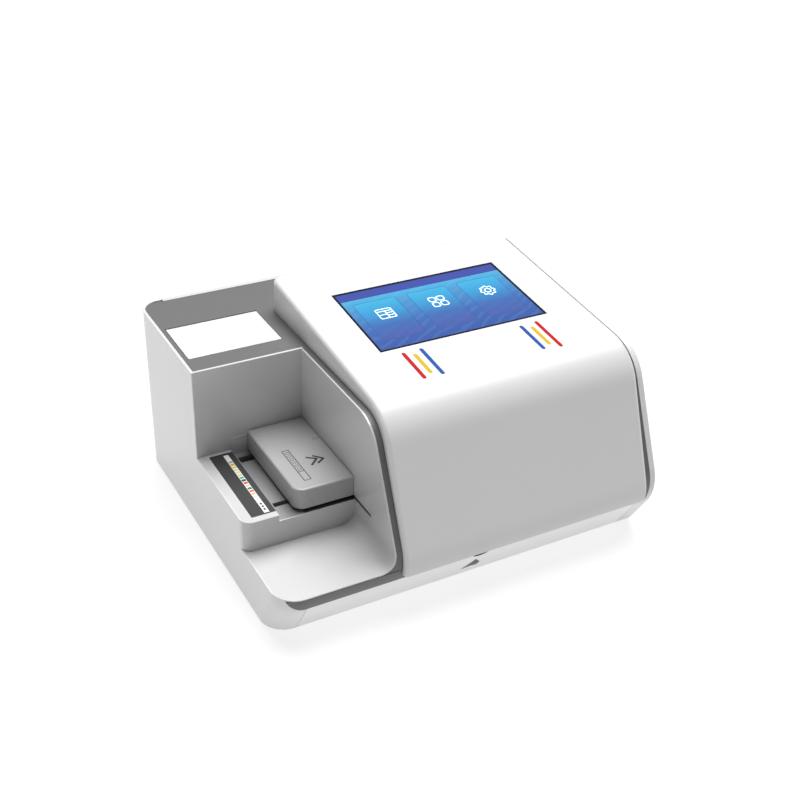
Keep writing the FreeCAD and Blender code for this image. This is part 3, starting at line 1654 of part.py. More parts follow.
def make_serial_port():
    """Nine-way serial socket: plate, shell and two jack posts."""
    plate = socket_block(serial_place, serial_plate_width, serial_plate_high, -socket_wall / 2, 0, 0)
    body = socket_block(serial_place, serial_width, serial_high, 0, network_depth, 0)
    shell = socket_block(serial_place, serial_width, serial_high, -back_inset, 0, 0)
    pieces = [plate, body, shell]
    for side in (-1, 1):
        x = serial_place + side * (serial_plate_width + serial_width) / 4
        pieces.append(rod_y(screw_head_radius * 2 / 3, x, depth - back_inset, depth, socket_height))
    return joined(pieces)


def make_network_port():
    """Eight-way network socket with its stepped mouth."""
    body = socket_block(network_place, network_width, network_high, -socket_wall / 2, network_depth, 0)
    mouth = socket_block(network_place, network_mouth_width, network_mouth_high, -overrun,
                         network_depth - socket_wall, 0)
    return body.cut(mouth)


def make_usb_port():
    """Flat data socket with its tongue."""
    body = socket_block(usb_place, usb_width, usb_high, -socket_wall / 2, usb_depth, 0)
    mouth = socket_block(usb_place, usb_mouth_width, usb_mouth_high, -overrun, usb_depth - socket_wall, 0)
    tongue = socket_block(usb_place, usb_mouth_width - socket_wall, usb_tongue, socket_wall, usb_depth, 0)
    return joined([body.cut(mouth), tongue])


os.makedirs("parts", exist_ok=True)
save("left_housing", make_left_housing())
save("inner_frame", make_inner_frame())
save("main_cover", make_main_cover())
save("right_shell", make_right_shell())
save("back_panel", make_back_panel())
save("base_pan", make_base_pan())
save("feet", make_feet())
save("base_screws", make_base_screws())
save("drawer_front", make_drawer_front())
save("waste_tray", make_waste_tray())
save("drawer_runners", make_drawer_runners())
save("chassis", make_chassis())
save("label_panel", make_label_panel())
save("strip_table", make_strip_table())
save("strip_hood", make_strip_hood())
save("waste_chute", make_waste_chute())
save("transport_frame", make_transport_frame())
save("guide_rods", make_guide_rods())
save("transport_carriage", make_transport_carriage())
save("rod_bushes", make_rod_bushes())
save("drive_belt", make_drive_belt())
save("driver_pulley", make_driver_pulley())
save("idler_pulley", pulley(idler_place, pin_radius + rod_fit))
save("idler_pin", make_idler_pin())
save("transport_motor", make_transport_motor())
save("reader_frame", make_reader_frame())
save("reader_rods", make_reader_rods())
save("reader_head", make_reader_head())
save("reader_lens", make_reader_lens())
save("reader_screw", make_reader_screw())
save("reader_motor", make_reader_motor())
save("paper_bucket", make_paper_bucket())
save("platen_roller", make_platen_roller())
save("drive_gear", make_drive_gear())
save("printer_motor", make_printer_motor())
save("thermal_head", make_thermal_head())
save("paper_roll", make_paper_roll())
save("printer_lid", make_printer_lid())
save("lid_pin", make_lid_pin())
save("touch_glass", make_touch_glass())
save("lcd_module", make_lcd_module())
save("display_bracket", make_display_bracket())
save("main_board", make_main_board())
save("board_parts", make_board_parts())
save("standoffs", make_standoffs())
save("board_screws", make_board_screws())
save("power_supply", make_power_supply())
save("display_cable", make_display_cable())
save("mains_inlet", make_mains_inlet())
save("mains_pins", Part.makeCompound(mains_pin_blocks()))
save("switch_frame", make_switch_frame())
save("switch_rocker", make_switch_rocker())
save("serial_port", make_serial_port())
save("network_port", make_network_port())
save("usb_port", make_usb_port())
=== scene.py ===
import math

import bpy
import numpy as np
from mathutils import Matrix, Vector


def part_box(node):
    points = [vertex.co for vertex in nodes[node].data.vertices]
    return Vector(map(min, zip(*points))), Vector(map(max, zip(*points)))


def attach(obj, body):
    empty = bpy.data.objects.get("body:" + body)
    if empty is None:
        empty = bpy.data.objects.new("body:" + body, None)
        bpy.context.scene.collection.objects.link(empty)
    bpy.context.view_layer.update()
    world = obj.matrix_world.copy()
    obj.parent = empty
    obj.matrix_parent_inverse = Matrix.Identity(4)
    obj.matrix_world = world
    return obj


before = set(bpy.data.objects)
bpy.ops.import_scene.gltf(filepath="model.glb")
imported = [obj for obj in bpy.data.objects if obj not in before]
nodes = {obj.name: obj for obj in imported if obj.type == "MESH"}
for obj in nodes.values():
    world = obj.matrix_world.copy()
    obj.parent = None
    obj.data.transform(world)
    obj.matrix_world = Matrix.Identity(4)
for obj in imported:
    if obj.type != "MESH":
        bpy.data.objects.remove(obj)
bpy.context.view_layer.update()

# The room: a white table top that glows faintly, under a broad soft sky lamp that leans
# in from behind and the right, so the tops and the right are brightest. A very weak lamp
# stands at the left. The camera is at the front left, rolled by a little over a degree.
camera_place = (-0.42735, -0.75220, 0.62587)
camera_tilt = math.radians(57.405)
camera_roll = math.radians(-1.402)
camera_turn = math.radians(-27.729)
camera_lens = 53.703
camera_film = 36.0
camera_shift = (0.03, 0.03)

camera_data = bpy.data.cameras.new("photo_camera")
camera_data.lens = camera_lens
camera_data.sensor_width = camera_film
camera_data.shift_x, camera_data.shift_y = camera_shift
camera = bpy.data.objects.new("photo_camera", camera_data)
camera.location = camera_place
camera.rotation_euler = (camera_tilt, camera_roll, camera_turn)
bpy.context.scene.collection.objects.link(camera)
bpy.context.scene.camera = camera
bpy.context.scene.view_settings.view_transform = "Standard"


sky_power = 4.9
sky_spread = math.radians(50)
sky_lean = (math.radians(-14), math.radians(13), 0.0)
sky_data = bpy.data.lights.new("sky_lamp", "SUN")
sky_data.energy = sky_power
sky_data.angle = sky_spread
sky = bpy.data.objects.new("sky_lamp", sky_data)
sky.rotation_euler = sky_lean
bpy.context.scene.collection.objects.link(sky)

left_place = (-1.60, 0.10, 0.40)
left_aim = (0.0, 0.0, 0.1)
left_width = 0.8
left_watts = 0.8
left_data = bpy.data.lights.new("left_lamp", "AREA")
left_data.shape = "SQUARE"
left_data.size = left_width
left_data.energy = left_watts
left_lamp = bpy.data.objects.new("left_lamp", left_data)
left_lamp.location = left_place
left_lamp.rotation_euler = (Vector(left_aim) - Vector(left_place)).to_track_quat("-Z", "Y").to_euler()
bpy.context.scene.collection.objects.link(left_lamp)

room_glow = 0.16
room = bpy.data.worlds.new("pale_room")
room.use_nodes = True
room.node_tree.nodes["Background"].inputs["Color"].default_value = (1.0, 1.0, 1.0, 1.0)
room.node_tree.nodes["Background"].inputs["Strength"].default_value = room_glow
bpy.context.scene.world = room


def shader_of(material):
    """The material's Principled shader."""
    material.use_nodes = True
    return material.node_tree.nodes["Principled BSDF"]


floor_reach = 60.0
floor_corners = [(-floor_reach, -floor_reach, 0), (floor_reach, -floor_reach, 0),
                 (floor_reach, floor_reach, 0), (-floor_reach, floor_reach, 0)]
floor_data = bpy.data.meshes.new("table_top")
floor_data.from_pydata(floor_corners, [], [(0, 1, 2, 3)])
floor = bpy.data.objects.new("table_top", floor_data)
bpy.context.scene.collection.objects.link(floor)
floor_glow = 0.80
table_white = bpy.data.materials.new("table_white")
table_shader = shader_of(table_white)
table_shader.inputs["Base Color"].default_value = (0.22, 0.22, 0.22, 1.0)
table_shader.inputs["Roughness"].default_value = 0.9
table_shader.inputs["Specular IOR Level"].default_value = 0.1
table_shader.inputs["Emission Color"].default_value = (1.0, 1.0, 1.0, 1.0)
table_shader.inputs["Emission Strength"].default_value = floor_glow
floor_data.materials.append(table_white)


# White covers: the right end cap, the main cover and the paper door are injection
# moulded in white plastic with a satin skin, screwed to the dark inner frame from
# below. The left housing is the same plastic, with painted shade on its loading bay.
def new_group(name, inputs, outputs):
    """An empty node group with its sockets: (name, kind, first value) in, (name, kind) out."""
    group = bpy.data.node_groups.new(name, "ShaderNodeTree")
    for label, kind, value in inputs:
        socket = group.interface.new_socket(label, in_out="INPUT", socket_type=kind)
        if value is not None:
            socket.default_value = value
    for label, kind in outputs:
        group.interface.new_socket(label, in_out="OUTPUT", socket_type=kind)
    entry = group.nodes.new("NodeGroupInput")
    result = group.nodes.new("NodeGroupOutput")
    return group, entry, result


def maths(tree, operation, first, second=None, third=None):
    """A Math node whose inputs are sockets or plain numbers; gives its output."""
    node = tree.nodes.new("ShaderNodeMath")
    node.operation = operation
    for place, value in enumerate((first, second, third)):
        if value is None:
            continue
        if isinstance(value, (int, float)):
            node.inputs[place].default_value = value
        else:
            tree.links.new(value, node.inputs[place])
    return node.outputs[0]


def noise(tree, vector, scale, detail):
    """Noise at a scale over a vector, with a number of finer layers."""
    texture = tree.nodes.new("ShaderNodeTexNoise")
    texture.inputs["Scale"].default_value = scale
    texture.inputs["Detail"].default_value = detail
    tree.links.new(vector, texture.inputs["Vector"])
    return texture.outputs[0]


skin_group, skin_in, skin_out = new_group(
    "moulded_skin",
    [("Vector", "NodeSocketVector", None), ("Tone", "NodeSocketFloat", 0.02),
     ("Gloss", "NodeSocketFloat", 0.3), ("Gloss spread", "NodeSocketFloat", 0.06)],
    [("Tone", "NodeSocketFloat"), ("Roughness", "NodeSocketFloat"), ("Height", "NodeSocketFloat")])
flow_scale, grain_scale, hands_scale = 9.0, 1400.0, 38.0
flow = noise(skin_group, skin_in.outputs["Vector"], flow_scale, 3.0)
grain = noise(skin_group, skin_in.outputs["Vector"], grain_scale, 2.0)
hands = noise(skin_group, skin_in.outputs["Vector"], hands_scale, 5.0)
drift = maths(skin_group, "SUBTRACT", flow, 0.5)
toned = maths(skin_group, "MULTIPLY_ADD", drift, skin_in.outputs["Tone"], 1.0)
rub = maths(skin_group, "SUBTRACT", hands, 0.5)
rough = maths(skin_group, "MULTIPLY_ADD", rub, skin_in.outputs["Gloss spread"], skin_in.outputs["Gloss"])
skin_group.links.new(toned, skin_out.inputs["Tone"])
skin_group.links.new(rough, skin_out.inputs["Roughness"])
skin_group.links.new(grain, skin_out.inputs["Height"])


def place_group(tree, group, values):
    """The group as a node in a tree, reading Object coordinates, with its own values."""
    node = tree.nodes.new("ShaderNodeGroup")
    node.node_tree = group
    place = tree.nodes.new("ShaderNodeTexCoord")
    tree.links.new(place.outputs["Object"], node.inputs["Vector"])
    for label, value in values.items():
        node.inputs[label].default_value = value
    return node


def toned_colour(tree, colour, tone):
    """A plain colour multiplied by a tone that changes over the surface."""
    mix = tree.nodes.new("ShaderNodeVectorMath")
    mix.operation = "SCALE"
    mix.inputs[0].default_value = colour
    tree.links.new(tone, mix.inputs["Scale"])
    return mix.outputs[0]


def bump(tree, shader, height, depth):
    """Joins a height to the shader's normal at a depth in metres."""
    node = tree.nodes.new("ShaderNodeBump")
    node.inputs["Strength"].default_value = 1.0
    node.inputs["Distance"].default_value = depth
    tree.links.new(height, node.inputs["Height"])
    tree.links.new(node.outputs[0], shader.inputs["Normal"])


def moulded(name, colour, gloss, spread=0.06, grain_depth=0.000004, tone=0.03, shine=0.5, coat=0.0):
    """Moulded plastic: an even colour with slight flow marks, a fine grain and handled gloss."""
    material = bpy.data.materials.new(name)
    shader = shader_of(material)
    tree = material.node_tree
    skin = place_group(tree, skin_group, {"Tone": tone, "Gloss": gloss, "Gloss spread": spread})
    tree.links.new(toned_colour(tree, colour, skin.outputs["Tone"]), shader.inputs["Base Color"])
    tree.links.new(skin.outputs["Roughness"], shader.inputs["Roughness"])
    shader.inputs["Specular IOR Level"].default_value = shine
    shader.inputs["Coat Weight"].default_value = coat
    shader.inputs["Coat Roughness"].default_value = 0.03
    bump(tree, shader, skin.outputs["Height"], grain_depth)
    return material


def finish(material, *names):
    """Gives CAD nodes a material."""
    for name in names:
        nodes[name].data.materials.clear()
        nodes[name].data.materials.append(material)


white_cover = moulded("white_cover_plastic", (0.66, 0.66, 0.665), gloss=0.34, spread=0.05)
finish(white_cover, "main_cover", "right_shell", "printer_lid")
housing_white = moulded("housing_plastic", (0.66, 0.66, 0.665), gloss=0.22, spread=0.05,
                        grain_depth=0.000002, coat=0.3)
# Painted shade: the housing's colour is scaled down inside a box that holds the loading
# bay, which paints the shade that falls on the bay's walls and floors.
bay_shade_factor = 0.82
bay_low_corner = (-0.1702, -1.0, 0.0480)
bay_high_corner = (-0.0740, 0.0204, 1.0)
tree = housing_white.node_tree
spot = tree.nodes.new("ShaderNodeTexCoord")
spot_parts = tree.nodes.new("ShaderNodeSeparateXYZ")
tree.links.new(spot.outputs["Object"], spot_parts.inputs[0])
in_bay = None
for axis in range(3):
    above = maths(tree, "GREATER_THAN", spot_parts.outputs[axis], bay_low_corner[axis])
    below = maths(tree, "LESS_THAN", spot_parts.outputs[axis], bay_high_corner[axis])
    both = maths(tree, "MULTIPLY", above, below)
    in_bay = both if in_bay is None else maths(tree, "MULTIPLY", in_bay, both)
bay_shaded = tree.nodes.new("ShaderNodeVectorMath")
bay_shaded.operation = "SCALE"
housing_shader = shader_of(housing_white)
tree.links.new(housing_shader.inputs["Base Color"].links[0].from_socket, bay_shaded.inputs[0])
tree.links.new(maths(tree, "MULTIPLY_ADD", in_bay, bay_shade_factor - 1.0, 1.0), bay_shaded.inputs["Scale"])
tree.links.new(bay_shaded.outputs[0], housing_shader.inputs["Base Color"])
finish(housing_white, "left_housing")

# Dark inner frame: one dark grey moulding that carries both white covers. Its deck
# and the bands between the covers have a fine spark-eroded grain.
frame_dark = moulded("frame_plastic", (0.120, 0.120, 0.122), gloss=0.42, spread=0.08, grain_depth=0.000010)
finish(frame_dark, "inner_frame")

# Waste drawer: a light grey chin with a deep grey tray behind it, on two folded zinc
# runners under the chassis. Used strips drop into the tray.
chin_grey = moulded("chin_plastic", (0.80, 0.80, 0.805), gloss=0.36, spread=0.06)
finish(chin_grey, "drawer_front")
tray_grey = moulded("tray_plastic", (0.30, 0.31, 0.32), gloss=0.48, spread=0.10, grain_depth=0.000012)
finish(tray_grey, "waste_tray")

metal_group, metal_in, metal_out = new_group(
    "worked_metal",
    [("Vector", "NodeSocketVector", None), ("Tone", "NodeSocketFloat", 0.1),
     ("Gloss", "NodeSocketFloat", 0.3), ("Gloss spread", "NodeSocketFloat", 0.1),
     ("Along x", "NodeSocketFloat", 1.0), ("Along y", "NodeSocketFloat", 1.0),
     ("Along z", "NodeSocketFloat", 1.0)],
    [("Tone", "NodeSocketFloat"), ("Roughness", "NodeSocketFloat"), ("Height", "NodeSocketFloat")])
axes = metal_group.nodes.new("ShaderNodeCombineXYZ")
for axis, label in enumerate(("Along x", "Along y", "Along z")):
    metal_group.links.new(metal_in.outputs[label], axes.inputs[axis])
drawn = metal_group.nodes.new("ShaderNodeVectorMath")
drawn.operation = "MULTIPLY"
metal_group.links.new(metal_in.outputs["Vector"], drawn.inputs[0])
metal_group.links.new(axes.outputs[0], drawn.inputs[1])
drawn_scale, cloud_scale = 900.0, 60.0
lines = noise(metal_group, drawn.outputs[0], drawn_scale, 3.0)
cloud = noise(metal_group, metal_in.outputs["Vector"], cloud_scale, 4.0)
line_tone = maths(metal_group, "MULTIPLY_ADD", maths(metal_group, "SUBTRACT", lines, 0.5),
                  metal_in.outputs["Tone"], 1.0)
cloud_tone = maths(metal_group, "MULTIPLY_ADD", maths(metal_group, "SUBTRACT", cloud, 0.5),
                   metal_in.outputs["Tone"], line_tone)
metal_rough = maths(metal_group, "MULTIPLY_ADD", maths(metal_group, "SUBTRACT", lines, 0.5),
                    metal_in.outputs["Gloss spread"], metal_in.outputs["Gloss"])
metal_group.links.new(cloud_tone, metal_out.inputs["Tone"])
metal_group.links.new(metal_rough, metal_out.inputs["Roughness"])
metal_group.links.new(lines, metal_out.inputs["Height"])


def metal(name, colour, gloss, spread=0.15, along=(1.0, 1.0, 1.0), tone=0.15, depth=0.000003):
    """Worked metal: fine lines drawn along the axes whose share is small, and a faint cloud."""
    material = bpy.data.materials.new(name)
    shader = shader_of(material)
    tree = material.node_tree
    shader.inputs["Metallic"].default_value = 1.0
    worked = place_group(tree, metal_group, {"Tone": tone, "Gloss": gloss, "Gloss spread": spread,
                                             "Along x": along[0], "Along y": along[1], "Along z": along[2]})
    tree.links.new(toned_colour(tree, colour, worked.outputs["Tone"]), shader.inputs["Base Color"])
    tree.links.new(worked.outputs["Roughness"], shader.inputs["Roughness"])
    bump(tree, shader, worked.outputs["Height"], depth)
    return material


zinc_sheet = metal("zinc_sheet", (0.60, 0.61, 0.62), gloss=0.42, spread=0.25, tone=0.35)
finish(zinc_sheet, "drawer_runners", "chassis")

# Display: a seven inch touch screen glued into the window of the main cover. A black
# glass edge goes round the lit picture, which has a title bar, a blue ground with
# light waves, and three tiles with white line pictures.
screen_left, screen_width = 137.1, 154.1
screen_slant = 85.9
screen_top = 200.8
cover_back, cover_back_height = 248.7, 182.8
cover_slope = math.radians(6.03)
glass_recess = 0.3
frame_shift = (171.0, 152.2, -3.0)


def metres(points):
    """Points in millimetres from the housing's own corner, as metres in the model's frame."""
    return (np.asarray(points, float) - frame_shift) / 1000.0


def on_cover(u, v, lift):
    """A point u right and v up the slope from the screen's lower left corner, lifted off the cover."""
    back = (cover_back - screen_top) / math.cos(cover_slope) + screen_slant - v
    y = cover_back - back * math.cos(cover_slope) - lift * math.sin(cover_slope)
    z = cover_back_height - back * math.sin(cover_slope) + lift * math.cos(cover_slope)
    return metres(np.stack([screen_left + u, y, z], axis=-1))


def new_piece(name, points, faces, material, body):
    """A mesh piece from points and faces, which rides on a body and takes a slot's finish."""
    mesh = bpy.data.meshes.new(name)
    mesh.from_pydata([tuple(p) for p in points], [], faces)
    mesh.materials.append(material)
    mesh.update()
    piece = bpy.data.objects.new(name, mesh)
    bpy.context.scene.collection.objects.link(piece)
    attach(piece, body)
    return piece


def plate_faces(count, start):
    """A thin plate's faces: the outline's points at the low lift come first, then those at the high lift."""
    ring = np.arange(count)
    after = np.roll(ring, -1)
    top = (start + count + ring).tolist()
    bottom = (start + ring[::-1]).tolist()
    sides = start + np.stack([ring, after, after + count, ring + count], axis=-1)
    return [top, bottom] + sides.tolist()


def raised_prints(name, outlines, place, lifts, material, body):
    """Flat prints: each outline, turning left, is a thin plate between two lifts off its surface."""
    points, faces = [], []
    for outline in outlines:
        outline = np.asarray(outline, float)
        count = len(outline)
        start = len(points)
        for lift in lifts:
            points.extend(place(outline[:, 0], outline[:, 1], np.full(count, lift)))
        faces.extend(plate_faces(count, start))
    return new_piece(name, points, faces, material, body)


def stroke(start, end, width, ends=7):
    """A straight stroke with round ends: half circles of the width at both points, turning left."""
    start, end = np.asarray(start, float), np.asarray(end, float)
    angle = math.atan2(*(end - start)[::-1])
    turns = np.linspace(-math.pi / 2, math.pi / 2, ends)
    far = end + width / 2 * np.stack([np.cos(angle + turns), np.sin(angle + turns)], axis=-1)
    near = start - width / 2 * np.stack([np.cos(angle + turns), np.sin(angle + turns)], axis=-1)
    return np.concatenate([far, near])


def band(points, width, closed):
    """A line of a width along points: one plate for each run, so bends stay round."""
    points = list(points)
    runs = zip(points, points[1:] + points[:1]) if closed else zip(points[:-1], points[1:])
    return [stroke(a, b, width) for a, b in runs]


picture = bpy.data.materials.new("lit_picture")
picture_shader = shader_of(picture)
tree = picture.node_tree
uv = tree.nodes.new("ShaderNodeUVMap")
uv.uv_map = "screen"
split = tree.nodes.new("ShaderNodeSeparateXYZ")
tree.links.new(uv.outputs[0], split.inputs[0])
across, up = split.outputs[0], split.outputs[1]

tile_group, tile_in, tile_out = new_group(
    "rounded_tile",
    [("Across", "NodeSocketFloat", 0.0), ("Up", "NodeSocketFloat", 0.0),
     ("Middle across", "NodeSocketFloat", 0.0), ("Middle up", "NodeSocketFloat", 0.0),
     ("Half width", "NodeSocketFloat", 10.0), ("Half height", "NodeSocketFloat", 10.0),
     ("Corner", "NodeSocketFloat", 2.0)],
    [("Inside", "NodeSocketFloat"), ("Edge", "NodeSocketFloat")])


def tile_reach(along, middle, half):
    """How far a place lies outside the tile's straight part, never below zero."""
    away = maths(tile_group, "ABSOLUTE", maths(tile_group, "SUBTRACT", along, middle))
    straight = maths(tile_group, "SUBTRACT", half, tile_in.outputs["Corner"])
    return maths(tile_group, "MAXIMUM", maths(tile_group, "SUBTRACT", away, straight), 0.0)


tile_sockets = tile_in.outputs
tile_border = 0.45
reach_across = tile_reach(tile_sockets["Across"], tile_sockets["Middle across"], tile_sockets["Half width"])
reach_up = tile_reach(tile_sockets["Up"], tile_sockets["Middle up"], tile_sockets["Half height"])
square = maths(tile_group, "ADD", maths(tile_group, "MULTIPLY", reach_across, reach_across),
               maths(tile_group, "MULTIPLY", reach_up, reach_up))
outside = maths(tile_group, "SUBTRACT", maths(tile_group, "SQRT", square), tile_in.outputs["Corner"])
inside = maths(tile_group, "LESS_THAN", outside, 0.0)
edge = maths(tile_group, "LESS_THAN", maths(tile_group, "ABSOLUTE", outside), tile_border)
tile_group.links.new(inside, tile_out.inputs["Inside"])
tile_group.links.new(edge, tile_out.inputs["Edge"])


def ramp(tree, value, stops):
    """A colour ramp over a value; stops are (place, colour)."""
    node = tree.nodes.new("ShaderNodeValToRGB")
    while len(node.color_ramp.elements) < len(stops):
        node.color_ramp.elements.new(0.5)
    for element, (place, colour) in zip(node.color_ramp.elements, stops):
        element.position = place
        element.color = (*colour, 1.0)
    tree.links.new(value, node.inputs[0])
    return node.outputs[0]


def blended(tree, share, first, second):
    """Two colours mixed by a share that changes over the surface."""
    mix = tree.nodes.new("ShaderNodeMix")
    mix.data_type = "RGBA"
    tree.links.new(share, mix.inputs["Factor"])
    for value, socket in ((first, mix.inputs[6]), (second, mix.inputs[7])):
        if isinstance(value, tuple):
            socket.default_value = (*value, 1.0)
        else:
            tree.links.new(value, socket)
    return mix.outputs[2]


height_share = maths(tree, "DIVIDE", up, screen_slant)
ground = ramp(tree, height_share, [(0.0, (0.045, 0.105, 0.410)), (0.35, (0.055, 0.160, 0.500)),
                                   (0.70, (0.075, 0.340, 0.680)), (0.86, (0.085, 0.480, 0.780))])
wave_scale = 0.035
wave_bend = 9.0
wave_angle = math.radians(62)
waves = tree.nodes.new("ShaderNodeTexWave")
waves.inputs["Scale"].default_value = wave_scale
waves.inputs["Distortion"].default_value = wave_bend
waves.inputs["Detail"].default_value = 3.0
waves.inputs["Detail Scale"].default_value = 0.6
wave_turn = tree.nodes.new("ShaderNodeMapping")
wave_turn.inputs["Rotation"].default_value = (0.0, 0.0, wave_angle)
tree.links.new(uv.outputs[0], wave_turn.inputs["Vector"])
tree.links.new(wave_turn.outputs[0], waves.inputs["Vector"])
crests = ramp(tree, waves.outputs["Fac"], [(0.70, (0.0, 0.0, 0.0)), (0.95, (0.10, 0.10, 0.10)),
                                           (1.0, (0.02, 0.02, 0.02))])
wave_blue = (0.35, 0.72, 0.95)
ground = blended(tree, crests, ground, wave_blue)
tile_ground = ramp(tree, height_share, [(0.14, (0.085, 0.115, 0.420)), (0.38, (0.055, 0.170, 0.500)),
                                        (0.60, (0.040, 0.400, 0.760)), (0.78, (0.055, 0.540, 0.850))])
tile_spans = [(28.0, 19.6), (77.5, 18.8), (126.5, 19.0)]
tile_middle_up = 39.8
tile_half_height = 28.0
tile_corner = 2.5
tile_share, border_share = 0.75, 0.45
border_blue = (0.02, 0.10, 0.40)
picture_colour = ground
for middle, half_width in tile_spans:
    tile = tree.nodes.new("ShaderNodeGroup")
    tile.node_tree = tile_group
    tree.links.new(across, tile.inputs["Across"])
    tree.links.new(up, tile.inputs["Up"])
    tile.inputs["Middle across"].default_value = middle
    tile.inputs["Middle up"].default_value = tile_middle_up
    tile.inputs["Half width"].default_value = half_width
    tile.inputs["Half height"].default_value = tile_half_height
    tile.inputs["Corner"].default_value = tile_corner
    tile_inside = maths(tree, "MULTIPLY", tile.outputs["Inside"], tile_share)
    picture_colour = blended(tree, tile_inside, picture_colour, tile_ground)
    tile_edge = maths(tree, "MULTIPLY", tile.outputs["Edge"], border_share)
    picture_colour = blended(tree, tile_edge, picture_colour, border_blue)
title_foot = 74.3
title_blue = (0.055, 0.085, 0.420)
title = maths(tree, "GREATER_THAN", up, title_foot)
picture_colour = blended(tree, title, picture_colour, title_blue)
rim_high, rim_wide = 0.9, 0.7
rim_black = (0.006, 0.010, 0.035)


def past_middle(along, full, margin):
    """One where a place is nearer than a margin to either end of a full length, else nothing."""
    away = maths(tree, "ABSOLUTE", maths(tree, "SUBTRACT", along, full / 2))
    return maths(tree, "GREATER_THAN", away, full / 2 - margin)


high_rim = past_middle(up, screen_slant, rim_high)
wide_rim = past_middle(across, screen_width, rim_wide)
rim = maths(tree, "MAXIMUM", high_rim, wide_rim)
picture_colour = blended(tree, rim, picture_colour, rim_black)
picture_shader.inputs["Base Color"].default_value = (0.01, 0.012, 0.02, 1.0)
tree.links.new(picture_colour, picture_shader.inputs["Emission Color"])
picture_shader.inputs["Emission Strength"].default_value = 1.0
picture_shader.inputs["Roughness"].default_value = 0.12
picture_shader.inputs["Specular IOR Level"].default_value = 0.35

picture_cells = (48, 28)
picture_lift = (0.02 - glass_recess, 0.05 - glass_recess)
picture_margin = 0.15


def screen_sheet(name, low, high, material):
    """The lit sheet: a grid over the slope at a high lift, the same grid lower down, and a wall between."""
    us = np.linspace(picture_margin, screen_width - picture_margin, picture_cells[0] + 1)
    vs = np.linspace(picture_margin, screen_slant - picture_margin, picture_cells[1] + 1)
    u, v = np.meshgrid(us, vs, indexing="ij")
    flat_u, flat_v = u.ravel(), v.ravel()
    top = on_cover(flat_u, flat_v, np.full(flat_u.size, high))
    bottom = on_cover(flat_u, flat_v, np.full(flat_u.size, low))
    rows = len(vs)
    index = np.arange(len(us) * rows).reshape(len(us), rows)
    a = index[:-1, :-1].ravel()
    b = index[1:, :-1].ravel()
    c = index[1:, 1:].ravel()
    d = index[:-1, 1:].ravel()
    upper = np.stack([a, b, c, d], axis=-1)
    lower = np.stack([d, c, b, a], axis=-1) + index.size
    border = np.concatenate([index[:, 0], index[-1, 1:], index[-2::-1, -1], index[0, -2:0:-1]])
    after = np.roll(border, -1)
    sides = np.stack([border + index.size, after + index.size, after, border], axis=-1)
    faces = np.concatenate([upper, lower, sides])
    points = np.concatenate([top, bottom])
    piece = new_piece(name, points, faces.tolist(), material, "housing")
    layer = piece.data.uv_layers.new(name="screen")
    corners = np.zeros(len(piece.data.loops), np.int64)
    piece.data.loops.foreach_get("vertex_index", corners)
    places = np.stack([np.tile(flat_u, 2), np.tile(flat_v, 2)], axis=-1)[corners]
    layer.data.foreach_set("uv", places.ravel().astype(np.float32))


screen_sheet("screen_picture", picture_lift[0], picture_lift[1], picture)

glass_black = moulded("glass_edge", (0.010, 0.012, 0.020), gloss=0.06, spread=0.02, grain_depth=0.0,
                      tone=0.1)
finish(glass_black, "touch_glass")

white_light = bpy.data.materials.new("white_picture_lines")
white_light_shader = shader_of(white_light)
white_light_shader.inputs["Base Color"].default_value = (0.8, 0.9, 0.95, 1.0)
white_light_shader.inputs["Emission Color"].default_value = (0.80, 0.97, 1.0, 1.0)
white_light_shader.inputs["Emission Strength"].default_value = 0.9
white_light_shader.inputs["Roughness"].default_value = 0.2


def rounded_loop(middle, width, height, corner, steps=5):
    """Points round a rectangle, turning left: each corner is a quarter circle round a point inside it."""
    sides = np.array([(1, 1), (-1, 1), (-1, -1), (1, -1)])
    quarter_starts = np.array([[0], [90], [180], [270]])
    angles = np.radians(quarter_starts + np.linspace(0, 90, steps))
    across = middle[0] + sides[:, :1] * (width / 2 - corner) + corner * np.cos(angles)
    up = middle[1] + sides[:, 1:] * (height / 2 - corner) + corner * np.sin(angles)
    return list(zip(across.ravel(), up.ravel()))


def gear_loop(middle, radius, depth, teeth, steepness=2.5, steps=64):
    """A gear's outline: the radius swings by a softened square wave, a number of times a turn."""
    turns = np.linspace(0, 2 * math.pi, steps, endpoint=False)
    swing = np.tanh(steepness * np.cos(turns * teeth)) * depth
    reach = radius + swing
    return list(zip(middle[0] + reach * np.cos(turns), middle[1] + reach * np.sin(turns)))


line_width = 0.78
window_middle = (29.0, 47.5)
window_width, window_height, window_corner = 14.0, 13.5, 1.2
window_bars = [((22.4, 51.0), (35.6, 51.0)), ((29.6, 51.0), (29.6, 41.0)), ((22.4, 46.2), (29.6, 46.2)),
               ((29.6, 47.8), (35.6, 47.8)), ((29.6, 44.4), (35.6, 44.4))]
window_line = rounded_loop(window_middle, window_width, window_height, window_corner)
lines_drawn = band(window_line, line_width, True)
lines_drawn += [stroke(start, end, line_width) for start, end in window_bars]

square_columns, square_rows = (75.2, 83.2), (44.2, 52.2)
square_side, square_corner = 6.0, 1.6
for square_x in square_columns:
    for square_y in square_rows:
        square_line = rounded_loop((square_x, square_y), square_side, square_side, square_corner)
        lines_drawn += band(square_line, line_width, True)

gear_middle = (127.8, 48.2)
gear_radius, gear_tooth, gear_bore = 6.2, 0.75, 5.6
gear_teeth = 8
lines_drawn += band(gear_loop(gear_middle, gear_radius, gear_tooth, gear_teeth), line_width, True)
lines_drawn += band(rounded_loop(gear_middle, gear_bore, gear_bore, gear_bore / 2), line_width, True)
line_lift = (0.05 - glass_recess, 0.08 - glass_recess)
raised_prints("screen_line_pictures", lines_drawn, on_cover, line_lift, white_light,
              "housing")

lcd_black = moulded("module_black", (0.025, 0.025, 0.027), gloss=0.5, spread=0.1, grain_depth=0.000008)
finish(lcd_black, "lcd_module", "display_bracket")

